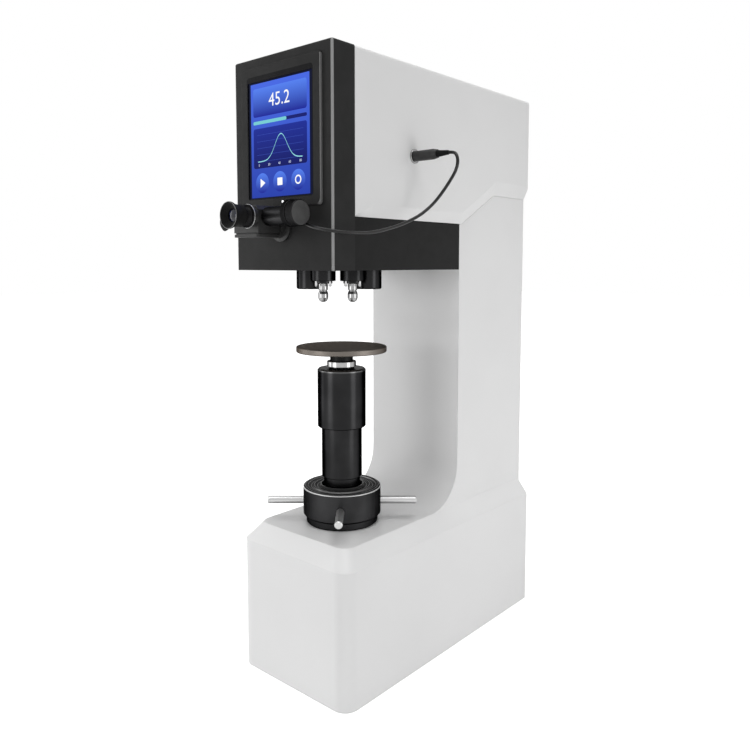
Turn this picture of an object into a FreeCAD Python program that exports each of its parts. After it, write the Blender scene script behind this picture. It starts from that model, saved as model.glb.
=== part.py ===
import FreeCAD, Part
import math
import os
import Sketcher
from FreeCAD import Placement, Rotation, Vector

# Bench hardness tester with a C-shaped cast frame, a hand-raised anvil, a turret
# of indenters and objectives, and a measuring eyepiece in front of a display head.
# Millimetres. The origin is on the spindle axis at the underside of the base,
# +Z is up, -Y is the operator's side and +X is the operator's right.

SIZES = [
    ("base_width", 195, "overall width of the base"),
    ("base_front", 96, "base front, ahead of the spindle axis"),
    ("base_rear", 330, "rear face of base and column, behind the axis"),
    ("base_height", 195, "top of the base"),
    ("base_corner", 20, "vertical corner radius of the base"),
    ("top_corner", 17, "front corner radius of the base's top face"),
    ("base_rear_corner", 6, "rear vertical corner radius"),
    ("chamfer_height", 22, "height of the base's top chamfer"),
    ("chamfer_front", 18, "inset of the chamfer at the front"),
    ("base_wall", 14, "wall of the base round its cavity"),
    ("base_ceiling", 45, "thickness of the base's top"),
    ("foot_block_width", 29, "corner block for a foot, across"),
    ("foot_block_depth", 32, "corner block for a foot, front to back"),
    ("foot_hole_radius", 4.25, "tapping hole for an M10 foot"),
    ("foot_hole_depth", 30, "depth of the foot's hole"),
    ("plate_thickness", 3, "bottom plate"),
    ("plate_ledge", 6, "ledge that the bottom plate rests on"),
    ("seat_gap", 0.3, "gap between pieces that drop into each other"),
    ("boss_radius", 60, "boss round the nut, under the base's top"),
    ("boss_drop", 61, "underside of that boss, below the base's top"),
    ("column_width", 160, "width of the column"),
    ("throat_depth", 155, "column front, behind the spindle axis"),
    ("column_fillet", 60, "sweep from base top to column front"),
    ("service_width", 128, "service space inside the column"),
    ("service_front", 190, "front wall of that space"),
    ("service_rise", 20, "floor of that space, above the base's top"),
    ("service_top", 620, "ceiling of that space"),
    ("arm_width", 140, "width of the arm inside the head"),
    ("arm_front", 58, "front end of the arm, ahead of the axis"),
    ("arm_bottom", 548, "underside of the arm"),
    ("arm_top", 592, "top of the arm"),
    ("head_width", 172, "width of the head"),
    ("head_bottom", 531.5, "underside of the head"),
    ("head_top", 790, "top of the machine"),
    ("head_overhang", 6, "head behind the column"),
    ("head_round", 5, "rounded upper edges of the head shell"),
    ("shell_wall", 2.5, "wall of the head shell"),
    ("skirt_top", 595, "top edge of the dark skirt"),
    ("skirt_wall", 3, "wall of the skirt"),
    ("skirt_floor", 3, "floor of the skirt"),
    ("ramp_front", 160, "where the shell's lower edge starts to rise"),
    ("ramp_rear", 243, "where it ends"),
    ("ramp_rise", 45, "how far it rises"),
    ("bevel_front", 15, "bevel height along the arm"),
    ("bevel_rear", 20, "bevel height behind the ramp"),
    ("hip_length", 33, "length of the bevel's closing facet"),
    ("cover_back", 66, "back of the front cover, ahead of the axis"),
    ("cover_depth", 37, "front cover, front to back"),
    ("cover_wall", 3, "wall of the front cover"),
    ("cover_edge", 3, "rounded front edges of the cover"),
    ("fascia_width", 140, "screen surround, width"),
    ("fascia_bottom", 607, "screen surround, lower edge"),
    ("fascia_top", 778, "screen surround, upper edge"),
    ("fascia_corner", 5, "screen surround, corner radius"),
    ("fascia_depth", 2, "screen surround, sunk into the cover"),
    ("fascia_rise", 3, "screen surround, ahead of the cover"),
    ("glass_inset", 1.2, "touch glass behind the surround's face"),
    ("glass_width", 122.8, "touch glass, width"),
    ("glass_bottom", 614.7, "touch glass, lower edge"),
    ("glass_top", 764.5, "touch glass, upper edge"),
    ("lamp_x", 5.7, "status lamp, right of the axis"),
    ("lamp_height", 611.2, "status lamp"),
    ("lamp_radius", 1.5, "status lamp"),
    ("glass_thickness", 1.8, "touch glass"),
    ("window_border", 4.5, "surround's lap over the glass"),
    ("display_depth", 14, "display unit behind the glass"),
    ("anvil_radius", 60, "anvil plate"),
    ("anvil_top", 431, "working face of the anvil at rest"),
    ("anvil_thickness", 7.5, "anvil plate"),
    ("anvil_stem_radius", 15.2, "stem under the plate"),
    ("anvil_seat", 411.5, "where the stem sits on the spindle"),
    ("anvil_pin_radius", 10, "pin that locates the anvil"),
    ("anvil_pin_length", 24, "length of that pin"),
    ("fit_gap", 0.05, "radial running clearance"),
    ("thread_gap", 0.1, "radial clearance of nut and screw"),
    ("spindle_ring_radius", 19.3, "bright ring on the spindle's end"),
    ("sleeve_radius", 32.15, "upper sleeve"),
    ("sleeve_top", 402, "top of the upper sleeve"),
    ("sleeve_bottom", 323.6, "lower edge of the upper sleeve"),
    ("tube_radius", 26.9, "lower tube"),
    ("tube_bottom", 256.3, "lower end of the lower tube"),
    ("screw_radius", 24.3, "elevating screw"),
    ("screw_bottom", 69, "lower end of the screw at rest"),
    ("key_width", 8, "keyway of the screw"),
    ("key_depth", 3.5, "keyway of the screw"),
    ("hub_radius", 52, "handwheel hub"),
    ("hub_foot_radius", 48, "lower step of the hub"),
    ("hub_height", 49, "height of the hub"),
    ("hub_step_height", 11, "height of the hub's lower step"),
    ("hub_bore_gap", 0.5, "hub bore round the lower tube"),
    ("nut_radius", 39, "nut below the hub"),
    ("nut_counterbore", 15, "depth of the wide bore at the nut's upper end"),
    ("wiper_radius", 29.1, "wiper ring at the hub's mouth"),
    ("wiper_height", 3, "wiper ring above the hub"),
    ("bushing_wall", 6, "guide bushing round the nut"),
    ("rod_radius", 5, "handwheel rods"),
    ("rod_reach", 100, "rod ends, from the axis"),
    ("rod_rise", 27, "rod axis, above the base's top"),
    ("rod_seat", 14, "rod inside the hub"),
    ("rod_angle", -48.85, "direction of the first rod"),
    ("turret_x", -29, "turret axis"),
    ("turret_y", 26, "turret axis"),
    ("station_radius", 39, "stations, from the turret axis"),
    ("disc_radius", 46.5, "turret disc"),
    ("disc_bottom", 533, "turret disc, underside"),
    ("disc_top", 545, "turret disc, top"),
    ("first_station", 281.2, "direction of the first indenter"),
    ("second_station", 341.2, "direction of the second indenter"),
    ("third_station", 41.2, "direction of the first objective"),
    ("fourth_station", 221.2, "direction of the second objective"),
    ("turret_shaft_radius", 11, "turret shaft"),
    ("turret_shaft_top", 600, "turret shaft, top"),
    ("holder_radius", 16.65, "indenter holder"),
    ("holder_step", 516.8, "holder, lower shoulder"),
    ("holder_bottom", 513.5, "holder, lower end"),
    ("nose_radius", 6.7, "indenter nose"),
    ("nose_tip", 489.2, "indenter nose, lowest point"),
    ("plunger_radius", 5, "indenter plunger"),
    ("plunger_top", 546, "top of the plunger"),
    ("objective_radius", 19.2, "objective barrel"),
    ("objective_bottom", 505.3, "objective, lower end"),
    ("load_shaft_radius", 10, "main load shaft"),
    ("load_shaft_bottom", 549.5, "main load shaft, lower end"),
    ("load_shaft_top", 660, "main load shaft, upper end"),
    ("lever_gap", 0.4, "lever above the load shaft"),
    ("lever_height", 30, "loading lever"),
    ("lever_width", 28, "loading lever"),
    ("pivot_y", 110, "lever pivot, behind the axis"),
    ("pivot_radius", 6, "lever pivot pin"),
    ("load_screw_y", 250, "load screw, behind the axis"),
    ("load_screw_radius", 8, "load screw"),
    ("load_screw_top", 705, "load screw, upper end"),
    ("motor_width", 56, "loading motor"),
    ("motor_length", 96, "loading motor"),
    ("eyepiece_height", 583, "axis on which the eyepiece turns"),
    ("boss_flange_radius", 17, "eyepiece boss, flange"),
    ("boss_tube_radius", 13, "eyepiece boss, tube"),
    ("boss_length", 12, "eyepiece boss, length"),
    ("spigot_radius", 7.5, "eyepiece spigot"),
    ("housing_left", 34, "eyepiece housing, left of the axis"),
    ("housing_right", 10, "eyepiece housing, right of the axis"),
    ("housing_bottom", 570.5, "eyepiece housing, underside"),
    ("housing_slab", 3.5, "base slab of the eyepiece housing"),
    ("housing_top", 607, "eyepiece housing, top"),
    ("housing_back", 115.3, "eyepiece housing, rear face"),
    ("housing_front", 148, "eyepiece housing, front face"),
    ("ocular_height", 594, "ocular axis"),
    ("ocular_radius", 13.9, "ocular ring"),
    ("ocular_tube_radius", 11.6, "ocular tube"),
    ("ocular_front", 165, "front of the ocular ring"),
    ("eyecup_radius", 15.5, "rubber eyecup"),
    ("eyecup_front", 183, "front of the eyecup"),
    ("drum_y", 132.5, "drum axis, ahead of the spindle"),
    ("drum_height", 596.5, "drum axis"),
    ("neck_radius", 10.5, "neck between housing and drum"),
    ("encoder_left", 37, "encoder housing, left face"),
    ("encoder_right", 53.6, "encoder housing, right face"),
    ("encoder_radius", 15, "encoder housing"),
    ("knob_right", 65, "drum knob, right face"),
    ("knob_radius", 14.3, "drum knob"),
    ("lead_diameter", 4, "eyepiece lead"),
    ("plug_y", 45.2, "plug axis, behind the spindle"),
    ("plug_height", 675.3, "plug axis"),
    ("plug_radius", 6.5, "plug body"),
    ("plug_end", 122.4, "end of the plug body"),
    ("relief_radius", 3.8, "plug's strain relief"),
    ("relief_end", 139.4, "end of the strain relief"),
    ("socket_radius", 9, "flange of the lead's socket"),
    ("socket_flange", 2, "thickness of that flange"),
    ("inlet_x", 30, "mains inlet, right of the axis"),
    ("inlet_height", 95, "centre of the inlet unit"),
    ("inlet_width", 28, "inlet cut-out"),
    ("inlet_length", 68, "inlet cut-out"),
]

doc = FreeCAD.newDocument("hardness_tester")
sheet = doc.addObject("Spreadsheet::Sheet", "Sizes")
for row, (alias, number, note) in enumerate(SIZES, start=1):
    sheet.set(f"A{row}", note)
    sheet.set(f"B{row}", str(number))
    sheet.setAlias(f"B{row}", alias)
doc.recompute()
NUMBERS = {alias: number for alias, number, note in SIZES}


class Size:
    """A length or angle from the sheet, or a sum made of such sizes."""

    def __init__(self, text, number):
        self.text = text
        self.number = number

    def __add__(self, other):
        return combine(self, "+", other)

    def __radd__(self, other):
        return combine(other, "+", self)

    def __sub__(self, other):
        return combine(self, "-", other)

    def __rsub__(self, other):
        return combine(other, "-", self)

    def __mul__(self, other):
        return combine(self, "*", other)

    def __rmul__(self, other):
        return combine(other, "*", self)

    def __truediv__(self, other):
        return combine(self, "/", other)

    def __neg__(self):
        return combine(0, "-", self)


def as_size(item):
    if isinstance(item, Size):
        return item
    return Size(f"({item})", float(item))


def combine(first, sign, second):
    a = as_size(first)
    b = as_size(second)
    results = {"+": lambda: a.number + b.number, "-": lambda: a.number - b.number,
               "*": lambda: a.number * b.number, "/": lambda: a.number / b.number}
    return Size(f"({a.text} {sign} {b.text})", results[sign]())


def cosine(angle):
    return Size(f"cos({angle.text})", math.cos(math.radians(angle.number)))


def sine(angle):
    return Size(f"sin({angle.text})", math.sin(math.radians(angle.number)))


class Sheet:
    """The sizes by name."""

    def __getattr__(self, name):
        return Size(f"Sizes.{name}", float(NUMBERS[name]))


s = Sheet()
bodies = []


def bind(thing, field, size):
    thing.setExpression(field, as_size(size).text)


def piece(name, x=0, y=0, z=0, turn=None):
    """A body named after its piece, placed at x, y, z."""
    body = doc.addObject("PartDesign::Body", name)
    body.Label = name
    if turn is not None:
        body.Placement = Placement(Vector(), turn)
    for field, size in (("x", x), ("y", y), ("z", z)):
        bind(body, f"Placement.Base.{field}", size)
    bodies.append(body)
    return body


def origin(body, role):
    return [item for item in body.Origin.OriginFeatures if item.Role == role][0]


def circle(a, b, radius):
    return ("circle", as_size(a), as_size(b), as_size(radius))


def rounded(a0, b0, a1, b1, radius, upper_radius=None):
    """A rectangle with rounded corners, anticlockwise from its lower left.

    upper_radius, where given, is for the two corners at b1.
    """
    top = radius if upper_radius is None else upper_radius
    return [(a0 + radius, b0), (a1 - radius, b0), (a1, b0 + radius, radius),
            (a1, b1 - top), (a1 - top, b1, top), (a0 + top, b1),
            (a0, b1 - top, top), (a0, b0 + radius), (a0 + radius, b0, radius)]


def box(a0, b0, a1, b1):
    return [(a0, b0), (a1, b0), (a1, b1), (a0, b1)]


def add_circle(sketch, loop):
    centre = Vector(loop[1].number, loop[2].number, 0)
    index = sketch.addGeometry(Part.Circle(centre, Vector(0, 0, 1), loop[3].number), False)
    fix_point(sketch, index, 3, loop[1], loop[2])
    row = sketch.addConstraint(Sketcher.Constraint("Radius", index, loop[3].number))
    bind(sketch, f"Constraints[{row}]", loop[3])


def fix_point(sketch, index, position, a, b):
    for kind, size in (("DistanceX", a), ("DistanceY", b)):
        rule = Sketcher.Constraint(kind, -1, 1, index, position, as_size(size).number)
        row = sketch.addConstraint(rule)
        bind(sketch, f"Constraints[{row}]", size)


def arc_between(start, end, radius):
    """Arc of a circle from start to end; a positive radius turns anticlockwise."""
    chord = end - start
    middle = (start + end) * 0.5
    reach = math.sqrt(max(radius * radius - chord.Length ** 2 / 4, 0))
    side = Vector(-chord.y, chord.x, 0).normalize() * math.copysign(reach, radius)
    centre = middle + side
    first = math.atan2(start.y - centre.y, start.x - centre.x)
    last = math.atan2(end.y - centre.y, end.x - centre.x)
    if radius < 0:
        first, last = last, first
    ring = Part.Circle(centre, Vector(0, 0, 1), abs(radius))
    return Part.ArcOfCircle(ring, first, last)


def add_outline(sketch, loop):
    """Lines and arcs through the corners; a third value is an arc's radius."""
    if len(loop[-1]) == 3 and same_corner(loop[0], loop[-1]):
        corners = loop[:-1]
        closing = loop[-1][2]
    else:
        corners = loop
        closing = None
    count = len(corners)
    ends = []
    for i in range(count):
        here = corners[i]
        after = corners[(i + 1) % count]
        start = Vector(as_size(here[0]).number, as_size(here[1]).number, 0)
        end = Vector(as_size(after[0]).number, as_size(after[1]).number, 0)
        radius = closing if i == count - 1 else (after[2] if len(after) == 3 else None)
        if radius is None:
            index = sketch.addGeometry(Part.LineSegment(start, end), False)
            ends.append((index, 1, 2))
            continue
        bend = as_size(radius)
        index = sketch.addGeometry(arc_between(start, end, bend.number), False)
        ends.append((index, 1, 2) if bend.number > 0 else (index, 2, 1))
        size = bend if bend.number > 0 else -bend
        row = sketch.addConstraint(Sketcher.Constraint("Radius", index, size.number))
        bind(sketch, f"Constraints[{row}]", size)
    for i in range(count):
        index, start_end, far_end = ends[i]
        other = ends[(i + 1) % count]
        sketch.addConstraint(
            Sketcher.Constraint("Coincident", index, far_end, other[0], other[1]))
        fix_point(sketch, index, start_end, corners[i][0], corners[i][1])


def same_corner(first, last):
    pairs = zip(first[:2], last[:2])
    return all(abs(as_size(p).number - as_size(q).number) < 1e-9 for p, q in pairs)


def draw(body, plane, level, loops):
    """A sketch on one of the body's own planes, moved to a level along its normal."""
    sketch = body.newObject("Sketcher::SketchObject", f"{body.Name}_sketch")
    sketch.AttachmentSupport = [(origin(body, f"{plane}_Plane"), "")]
    sketch.MapMode = "FlatFace"
    bind(sketch, "AttachmentOffset.Base.z", level)
    for loop in loops:
        if loop[0] == "circle":
            add_circle(sketch, loop)
        else:
            add_outline(sketch, loop)
    return sketch


def volume(body):
    return 0 if body.Shape.isNull() else body.Shape.Volume


def change(body, kind, sketch):
    """A sketch-based feature and the volume that the body had before it."""
    before = volume(body)
    feature = body.newObject(f"PartDesign::{kind}", f"{body.Name}_{kind.lower()}")
    feature.Profile = sketch
    return feature, before


def settle(body, feature, before, cut):
    doc.recompute()
    if cut and volume(body) > before - 1e-3:
        raise ValueError(f"{feature.Name} cuts nothing")
    if not cut and volume(body) < before + 1e-3:
        raise ValueError(f"{feature.Name} adds nothing")
    return feature


def extrude(body, plane, low, high, *loops, cut=False):
    """Pad or pocket between two levels along the plane's row axis."""
    level = -high if plane == "XZ" else low
    sketch = draw(body, plane, level, loops)
    feature, before = change(body, "Pocket" if cut else "Pad", sketch)
    bind(feature, "Length", high - low)
    feature.Reversed = cut
    return settle(body, feature, before, cut)


def ruled_loft(body, plane, first_level, first, last_level, last):
    """Straight-ruled form between two outlines of as many corners on parallel planes."""
    start = draw(body, plane, first_level, [first])
    end = draw(body, plane, last_level, [last])
    before = volume(body)
    loft = body.newObject("PartDesign::AdditiveLoft", f"{body.Name}_loft")
    loft.Profile = start
    loft.Sections = [end]
    loft.Ruled = True
    return settle(body, loft, before, False)


def revolve(body, *loops, cut=False):
    """Turned form: outlines of (radius, height) round the body's own Z."""
    sketch = draw(body, "XZ", 0, loops)
    feature, before = change(body, "Groove" if cut else "Revolution", sketch)
    feature.ReferenceAxis = (sketch, ["V_Axis"])
    feature.Angle = 360
    return settle(body, feature, before, cut)


def repeat(body, feature, count, step=None, length=None, axis="Z_Axis"):
    """Polar pattern round Z, or a linear one where a length is given."""
    before = body.Shape.Volume
    kind = "PolarPattern" if length is None else "LinearPattern"
    pattern = body.newObject(f"PartDesign::{kind}", f"{body.Name}_pattern")
    pattern.Originals = [feature]
    if length is None:
        pattern.Axis = (origin(body, axis), [""])
        pattern.Angle = 360 if step is None else step
    else:
        pattern.Direction = (origin(body, axis), [""])
        bind(pattern, "Length", length)
    pattern.Occurrences = count
    body.Tip = pattern
    doc.recompute()
    if abs(body.Shape.Volume - before) < 1e-3:
        raise ValueError(f"{pattern.Name} repeats nothing")
    return pattern


def edges_where(body, test):
    """Names of the body's edges whose middle point passes the test."""
    names = []
    for i, edge in enumerate(body.Shape.Edges, start=1):
        middle = edge.valueAt((edge.FirstParameter + edge.LastParameter) / 2)
        if test(edge, middle):
            names.append(f"Edge{i}")
    return names


def soften(body, radius, test, kind="Fillet"):
    base = body.Tip
    names = edges_where(body, test)
    feature = body.newObject(f"PartDesign::{kind}", f"{body.Name}_{kind.lower()}")
    feature.Base = (base, names)
    bind(feature, "Radius" if kind == "Fillet" else "Size", radius)
    doc.recompute()
    return feature


def upright(edge):
    return edge.BoundBox.XLength < 1e-6 and edge.BoundBox.YLength < 1e-6


def near(first, second):
    return abs(first - as_size(second).number) < 0.01


def group(name, shapes):
    """Like pieces that share one node: a compound of single solids."""
    links = []
    for i, (shape, place) in enumerate(shapes, start=1):
        item = doc.addObject("Part::Feature", f"{name}_{i}")
        item.Shape = shape
        item.Placement = place
        links.append(item)
    compound = doc.addObject("Part::Compound", name)
    compound.Label = name
    compound.Links = links
    bodies.append(compound)
    return compound


def screw_shape(head_radius, head_height, shank_radius, shank_length, socket_radius):
    """Socket-head screw, head up along +Z from its seat at zero."""
    head = Part.makeCylinder(head_radius, head_height)
    shank = Part.makeCylinder(shank_radius, shank_length, Vector(0, 0, -shank_length))
    corners = [Vector(socket_radius * math.cos(math.radians(60 * i)),
                      socket_radius * math.sin(math.radians(60 * i)), head_height)
               for i in range(7)]
    hexagon = Part.Face(Part.makePolygon(corners))
    return head.fuse(shank).removeSplitter().cut(hexagon.extrude(Vector(0, 0, -head_height * 0.6)))


# Named positions that several pieces share
half_base = s.base_width / 2
half_column = s.column_width / 2
half_head = s.head_width / 2
head_rear = s.base_rear + s.head_overhang
ramp_top = s.skirt_top + s.ramp_rise
cavity_top = s.base_height - s.base_ceiling
boss_bottom = s.base_height - s.boss_drop
service_bottom = s.base_height + s.service_rise
hub_top = s.base_height + s.hub_height
hub_step = s.base_height + s.hub_step_height
nut_bottom = boss_bottom + 1
rod_height = s.base_height + s.rod_rise
cover_front = s.cover_back + s.cover_depth
FORWARD = Rotation(Vector(1, 0, 0), 90)
SIDEWAYS = Rotation(Vector(0, 1, 0), 90)

# Frame: base, column and arm in one casting
frame = piece("frame_casting")
shoulder = s.base_height - s.chamfer_height
base_outline = rounded(-half_base, -s.base_front, half_base, s.base_rear,
                       s.base_corner, s.base_rear_corner)
top_outline = rounded(-half_column, -s.base_front + s.chamfer_front, half_column, s.base_rear,
                      s.top_corner, s.base_rear_corner)
extrude(frame, "XY", as_size(0), shoulder, base_outline)
ruled_loft(frame, "XY", shoulder, base_outline, s.base_height, top_outline)
extrude(frame, "YZ", -half_column, half_column,
        [(s.throat_depth - s.column_fillet, s.base_height),
         (s.throat_depth, s.base_height + s.column_fillet, s.column_fillet),
         (s.throat_depth, s.skirt_top),
         (s.ramp_front, s.skirt_top),
         (s.ramp_rear, ramp_top),
         (s.base_rear, ramp_top),
         (s.base_rear, shoulder),
         (s.throat_depth - s.column_fillet, shoulder)])
extrude(frame, "XY", s.arm_bottom, s.arm_top,
        rounded(-s.arm_width / 2, -s.arm_front, s.arm_width / 2, s.throat_depth + 10, 8))
plate_x = half_base - s.base_wall + s.plate_ledge
plate_front = -s.base_front + s.base_wall - s.plate_ledge
plate_rear = s.base_rear - s.base_wall + s.plate_ledge


def plus_outline(inset):
    """Cross shape that leaves the four foot blocks standing in the corners."""
    x0 = plate_x - inset
    x1 = plate_x - s.foot_block_width - inset
    y0 = plate_front + inset
    y1 = plate_front + s.foot_block_depth + inset
    y2 = plate_rear - s.foot_block_depth - inset
    y3 = plate_rear - inset
    return [(-x1, y0), (x1, y0), (x1, y1), (x0, y1), (x0, y2), (x1, y2),
            (x1, y3), (-x1, y3), (-x1, y2), (-x0, y2), (-x0, y1), (-x1, y1)]


extrude(frame, "XY", as_size(0), s.plate_thickness, plus_outline(0), cut=True)
extrude(frame, "XY", s.plate_thickness, cavity_top, plus_outline(s.plate_ledge), cut=True)
extrude(frame, "XY", boss_bottom, cavity_top, circle(0, 0, s.boss_radius))
bushing_radius = s.nut_radius + s.bushing_wall
extrude(frame, "XY", boss_bottom, s.base_height, circle(0, 0, bushing_radius), cut=True)
extrude(frame, "XZ", s.service_front, s.base_rear,
        rounded(-s.service_width / 2, service_bottom, s.service_width / 2,
                s.service_top, 8), cut=True)
guide_radius = s.load_shaft_radius + 5
bearing_radius = s.turret_shaft_radius + 6
extrude(frame, "XY", s.arm_bottom, s.arm_top,
        circle(0, 0, guide_radius), circle(s.turret_x, s.turret_y, bearing_radius), cut=True)
extrude(frame, "XY", s.service_top, ramp_top,
        circle(0, s.load_screw_y, s.load_screw_radius + 3), cut=True)
extrude(frame, "XZ", s.base_rear - s.base_wall, s.base_rear,
        box(s.inlet_x - s.inlet_width / 2, s.inlet_height - s.inlet_length / 2,
            s.inlet_x + s.inlet_width / 2, s.inlet_height + s.inlet_length / 2), cut=True)
foot_x = plate_x - s.foot_block_width / 2
foot_front = plate_front + s.foot_block_depth / 2
foot_rear = plate_rear - s.foot_block_depth / 2
extrude(frame, "XY", as_size(0), s.foot_hole_depth,
        *[circle(x, y, s.foot_hole_radius)
          for x in (-foot_x, foot_x) for y in (foot_front, foot_rear)], cut=True)

bottom = piece("base_plate")
extrude(bottom, "XY", as_size(0), s.plate_thickness, plus_outline(s.seat_gap))

# Nut, screw and handwheel
bushing = piece("guide_bushing")
revolve(bushing, box(s.nut_radius + s.fit_gap, boss_bottom, bushing_radius, s.base_height - 6))

bearing = piece("thrust_bearing")
revolve(bearing, [(s.nut_radius + 1, s.base_height - 6), (bushing_radius, s.base_height - 6),
                  (bushing_radius, s.base_height), (s.nut_radius + 4, s.base_height),
                  (s.nut_radius + 4, s.base_height - 2), (s.nut_radius + 1, s.base_height - 2)])

hub_bore = s.tube_radius + s.hub_bore_gap
hub = piece("handwheel_hub")
revolve(hub, [(hub_bore, s.base_height), (s.hub_foot_radius - 1.5, s.base_height),
              (s.hub_foot_radius, s.base_height + 1.5), (s.hub_foot_radius, hub_step - 2),
              (s.hub_radius, hub_step + 1), (s.hub_radius, hub_top - 2),
              (s.hub_radius - 2, hub_top), (s.hub_radius - 7, hub_top),
              (s.hub_radius - 8, hub_top - 1.5), (s.hub_radius - 12, hub_top - 1.5),
              (s.hub_radius - 13, hub_top), (s.wiper_radius + 6, hub_top),
              (s.wiper_radius + 5, hub_top - 1.5), (s.wiper_radius, hub_top - 1.5),
              (hub_bore, hub_top - 1.5)])
for turn in range(4):
    angle = s.rod_angle + 90 * turn
    mouth = hub.newObject("PartDesign::SubtractiveCylinder", "rod_hole")
    bind(mouth, "Radius", s.rod_radius)
    bind(mouth, "Height", s.rod_seat + 4)
    mouth.Placement = Placement(Vector(), Rotation(angle.number, 0, 0) * SIDEWAYS)
    bind(mouth, "Placement.Base.x", cosine(angle) * (s.hub_radius - s.rod_seat))
    bind(mouth, "Placement.Base.y", sine(angle) * (s.hub_radius - s.rod_seat))
    bind(mouth, "Placement.Base.z", rod_height)
    doc.recompute()

wiper = piece("wiper_ring")
revolve(wiper, box(hub_bore, hub_top - 1.5, s.wiper_radius, hub_top + s.wiper_height - 1.5))

nut = piece("elevating_nut")
revolve(nut, [(s.screw_radius + s.thread_gap, nut_bottom), (s.nut_radius, nut_bottom),
              (s.nut_radius, s.base_height), (hub_bore, s.base_height),
              (hub_bore, s.base_height - s.nut_counterbore),
              (s.screw_radius + s.thread_gap, s.base_height - s.nut_counterbore)])

rods = []
for turn in range(4):
    angle = math.radians(NUMBERS["rod_angle"] + 90 * turn)
    seat = NUMBERS["hub_radius"] - NUMBERS["rod_seat"]
    reach = NUMBERS["rod_reach"] - seat
    radius = NUMBERS["rod_radius"]
    rod = Part.makeCylinder(radius, reach - 1).fuse(
        Part.makeCone(radius, radius - 1, 1, Vector(0, 0, reach - 1))).removeSplitter()
    place = Placement(Vector(seat * math.cos(angle), seat * math.sin(angle), rod_height.number),
                      Rotation(math.degrees(angle), 0, 0) * SIDEWAYS)
    rods.append((rod, place))
group("handwheel_rods", rods)

screw = piece("elevating_screw")
revolve(screw, [(0, s.screw_bottom), (s.screw_radius - 2, s.screw_bottom),
                (s.screw_radius, s.screw_bottom + 2), (s.screw_radius, s.tube_bottom + 20),
                (s.tube_radius - 3, s.tube_bottom + 20), (s.tube_radius - 3, s.sleeve_top - 8),
                (0, s.sleeve_top - 8)])
extrude(screw, "XY", s.screw_bottom, s.tube_bottom - 8,
        box(-s.key_width / 2, s.screw_radius - s.key_depth, s.key_width / 2, s.screw_radius + 1),
        cut=True)

key = piece("key_plate")
key_bottom = boss_bottom - 8
extrude(key, "XY", key_bottom, boss_bottom, circle(0, 0, s.boss_radius - 4))
extrude(key, "XY", key_bottom, boss_bottom, circle(0, 0, s.screw_radius + 0.4), cut=True)
extrude(key, "XY", key_bottom, boss_bottom,
        box(-s.key_width / 2 + 0.1, s.screw_radius - s.key_depth + 0.4,
            s.key_width / 2 - 0.1, s.screw_radius + 2))

tube = piece("lower_tube")
revolve(tube, [(s.screw_radius + s.thread_gap, s.tube_bottom), (s.tube_radius - 0.8, s.tube_bottom),
               (s.tube_radius, s.tube_bottom + 0.8), (s.tube_radius, s.sleeve_bottom + 10),
               (s.tube_radius - 3, s.sleeve_bottom + 10), (s.tube_radius - 3, s.tube_bottom + 20),
               (s.screw_radius + s.thread_gap, s.tube_bottom + 20)])

sleeve = piece("upper_sleeve")
revolve(sleeve, [(s.tube_radius, s.sleeve_bottom), (s.sleeve_radius - 1, s.sleeve_bottom),
                 (s.sleeve_radius, s.sleeve_bottom + 1), (s.sleeve_radius, s.sleeve_top - 2),
                 (s.sleeve_radius - 2, s.sleeve_top), (s.spindle_ring_radius - 3, s.sleeve_top),
                 (s.spindle_ring_radius - 3, s.sleeve_top - 8), (s.tube_radius, s.sleeve_top - 8)])

anvil_bore = s.anvil_pin_radius + s.fit_gap
ring = piece("spindle_ring")
revolve(ring, [(anvil_bore, s.sleeve_top - 8), (s.spindle_ring_radius - 3, s.sleeve_top - 8),
               (s.spindle_ring_radius - 3, s.sleeve_top), (s.spindle_ring_radius - 1.5, s.sleeve_top + 2),
               (s.spindle_ring_radius, s.sleeve_top + 2.5), (s.spindle_ring_radius, s.anvil_seat - 0.8),
               (s.spindle_ring_radius - 0.8, s.anvil_seat), (anvil_bore, s.anvil_seat)])
extrude(screw, "XY", s.anvil_seat - s.anvil_pin_length - 1, s.sleeve_top - 8,
        circle(0, 0, anvil_bore), cut=True)

anvil = piece("anvil")
revolve(anvil, [(0, s.anvil_seat - s.anvil_pin_length),
                (s.anvil_pin_radius - 1, s.anvil_seat - s.anvil_pin_length),
                (s.anvil_pin_radius, s.anvil_seat - s.anvil_pin_length + 1),
                (s.anvil_pin_radius, s.anvil_seat), (s.anvil_stem_radius, s.anvil_seat),
                (s.anvil_stem_radius, s.anvil_top - s.anvil_thickness),
                (s.anvil_radius - 1, s.anvil_top - s.anvil_thickness),
                (s.anvil_radius, s.anvil_top - s.anvil_thickness + 1),
                (s.anvil_radius, s.anvil_top - 1), (s.anvil_radius - 1, s.anvil_top),
                (0, s.anvil_top)])

# Turret with its indenters and objectives
station = {}
for key_name, direction in (("left", s.first_station), ("right", s.second_station),
                            ("rear", s.third_station), ("side", s.fourth_station)):
    station[key_name] = (s.turret_x + s.station_radius * cosine(direction),
                         s.turret_y + s.station_radius * sine(direction))
flange_top = s.head_bottom - s.seat_gap
stud_radius = s.plunger_radius + 2

disc = piece("turret_disc", s.turret_x, s.turret_y)
revolve(disc, [(0, s.disc_bottom), (s.disc_radius - 1, s.disc_bottom), (s.disc_radius, s.disc_bottom + 1),
               (s.disc_radius, s.disc_top - 1), (s.disc_radius - 1, s.disc_top), (0, s.disc_top)])
for direction in (s.first_station, s.second_station, s.third_station, s.fourth_station):
    extrude(disc, "XY", s.disc_bottom, s.disc_top,
            circle(s.station_radius * cosine(direction), s.station_radius * sine(direction),
                   s.plunger_radius + 0.4), cut=True)

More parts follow.
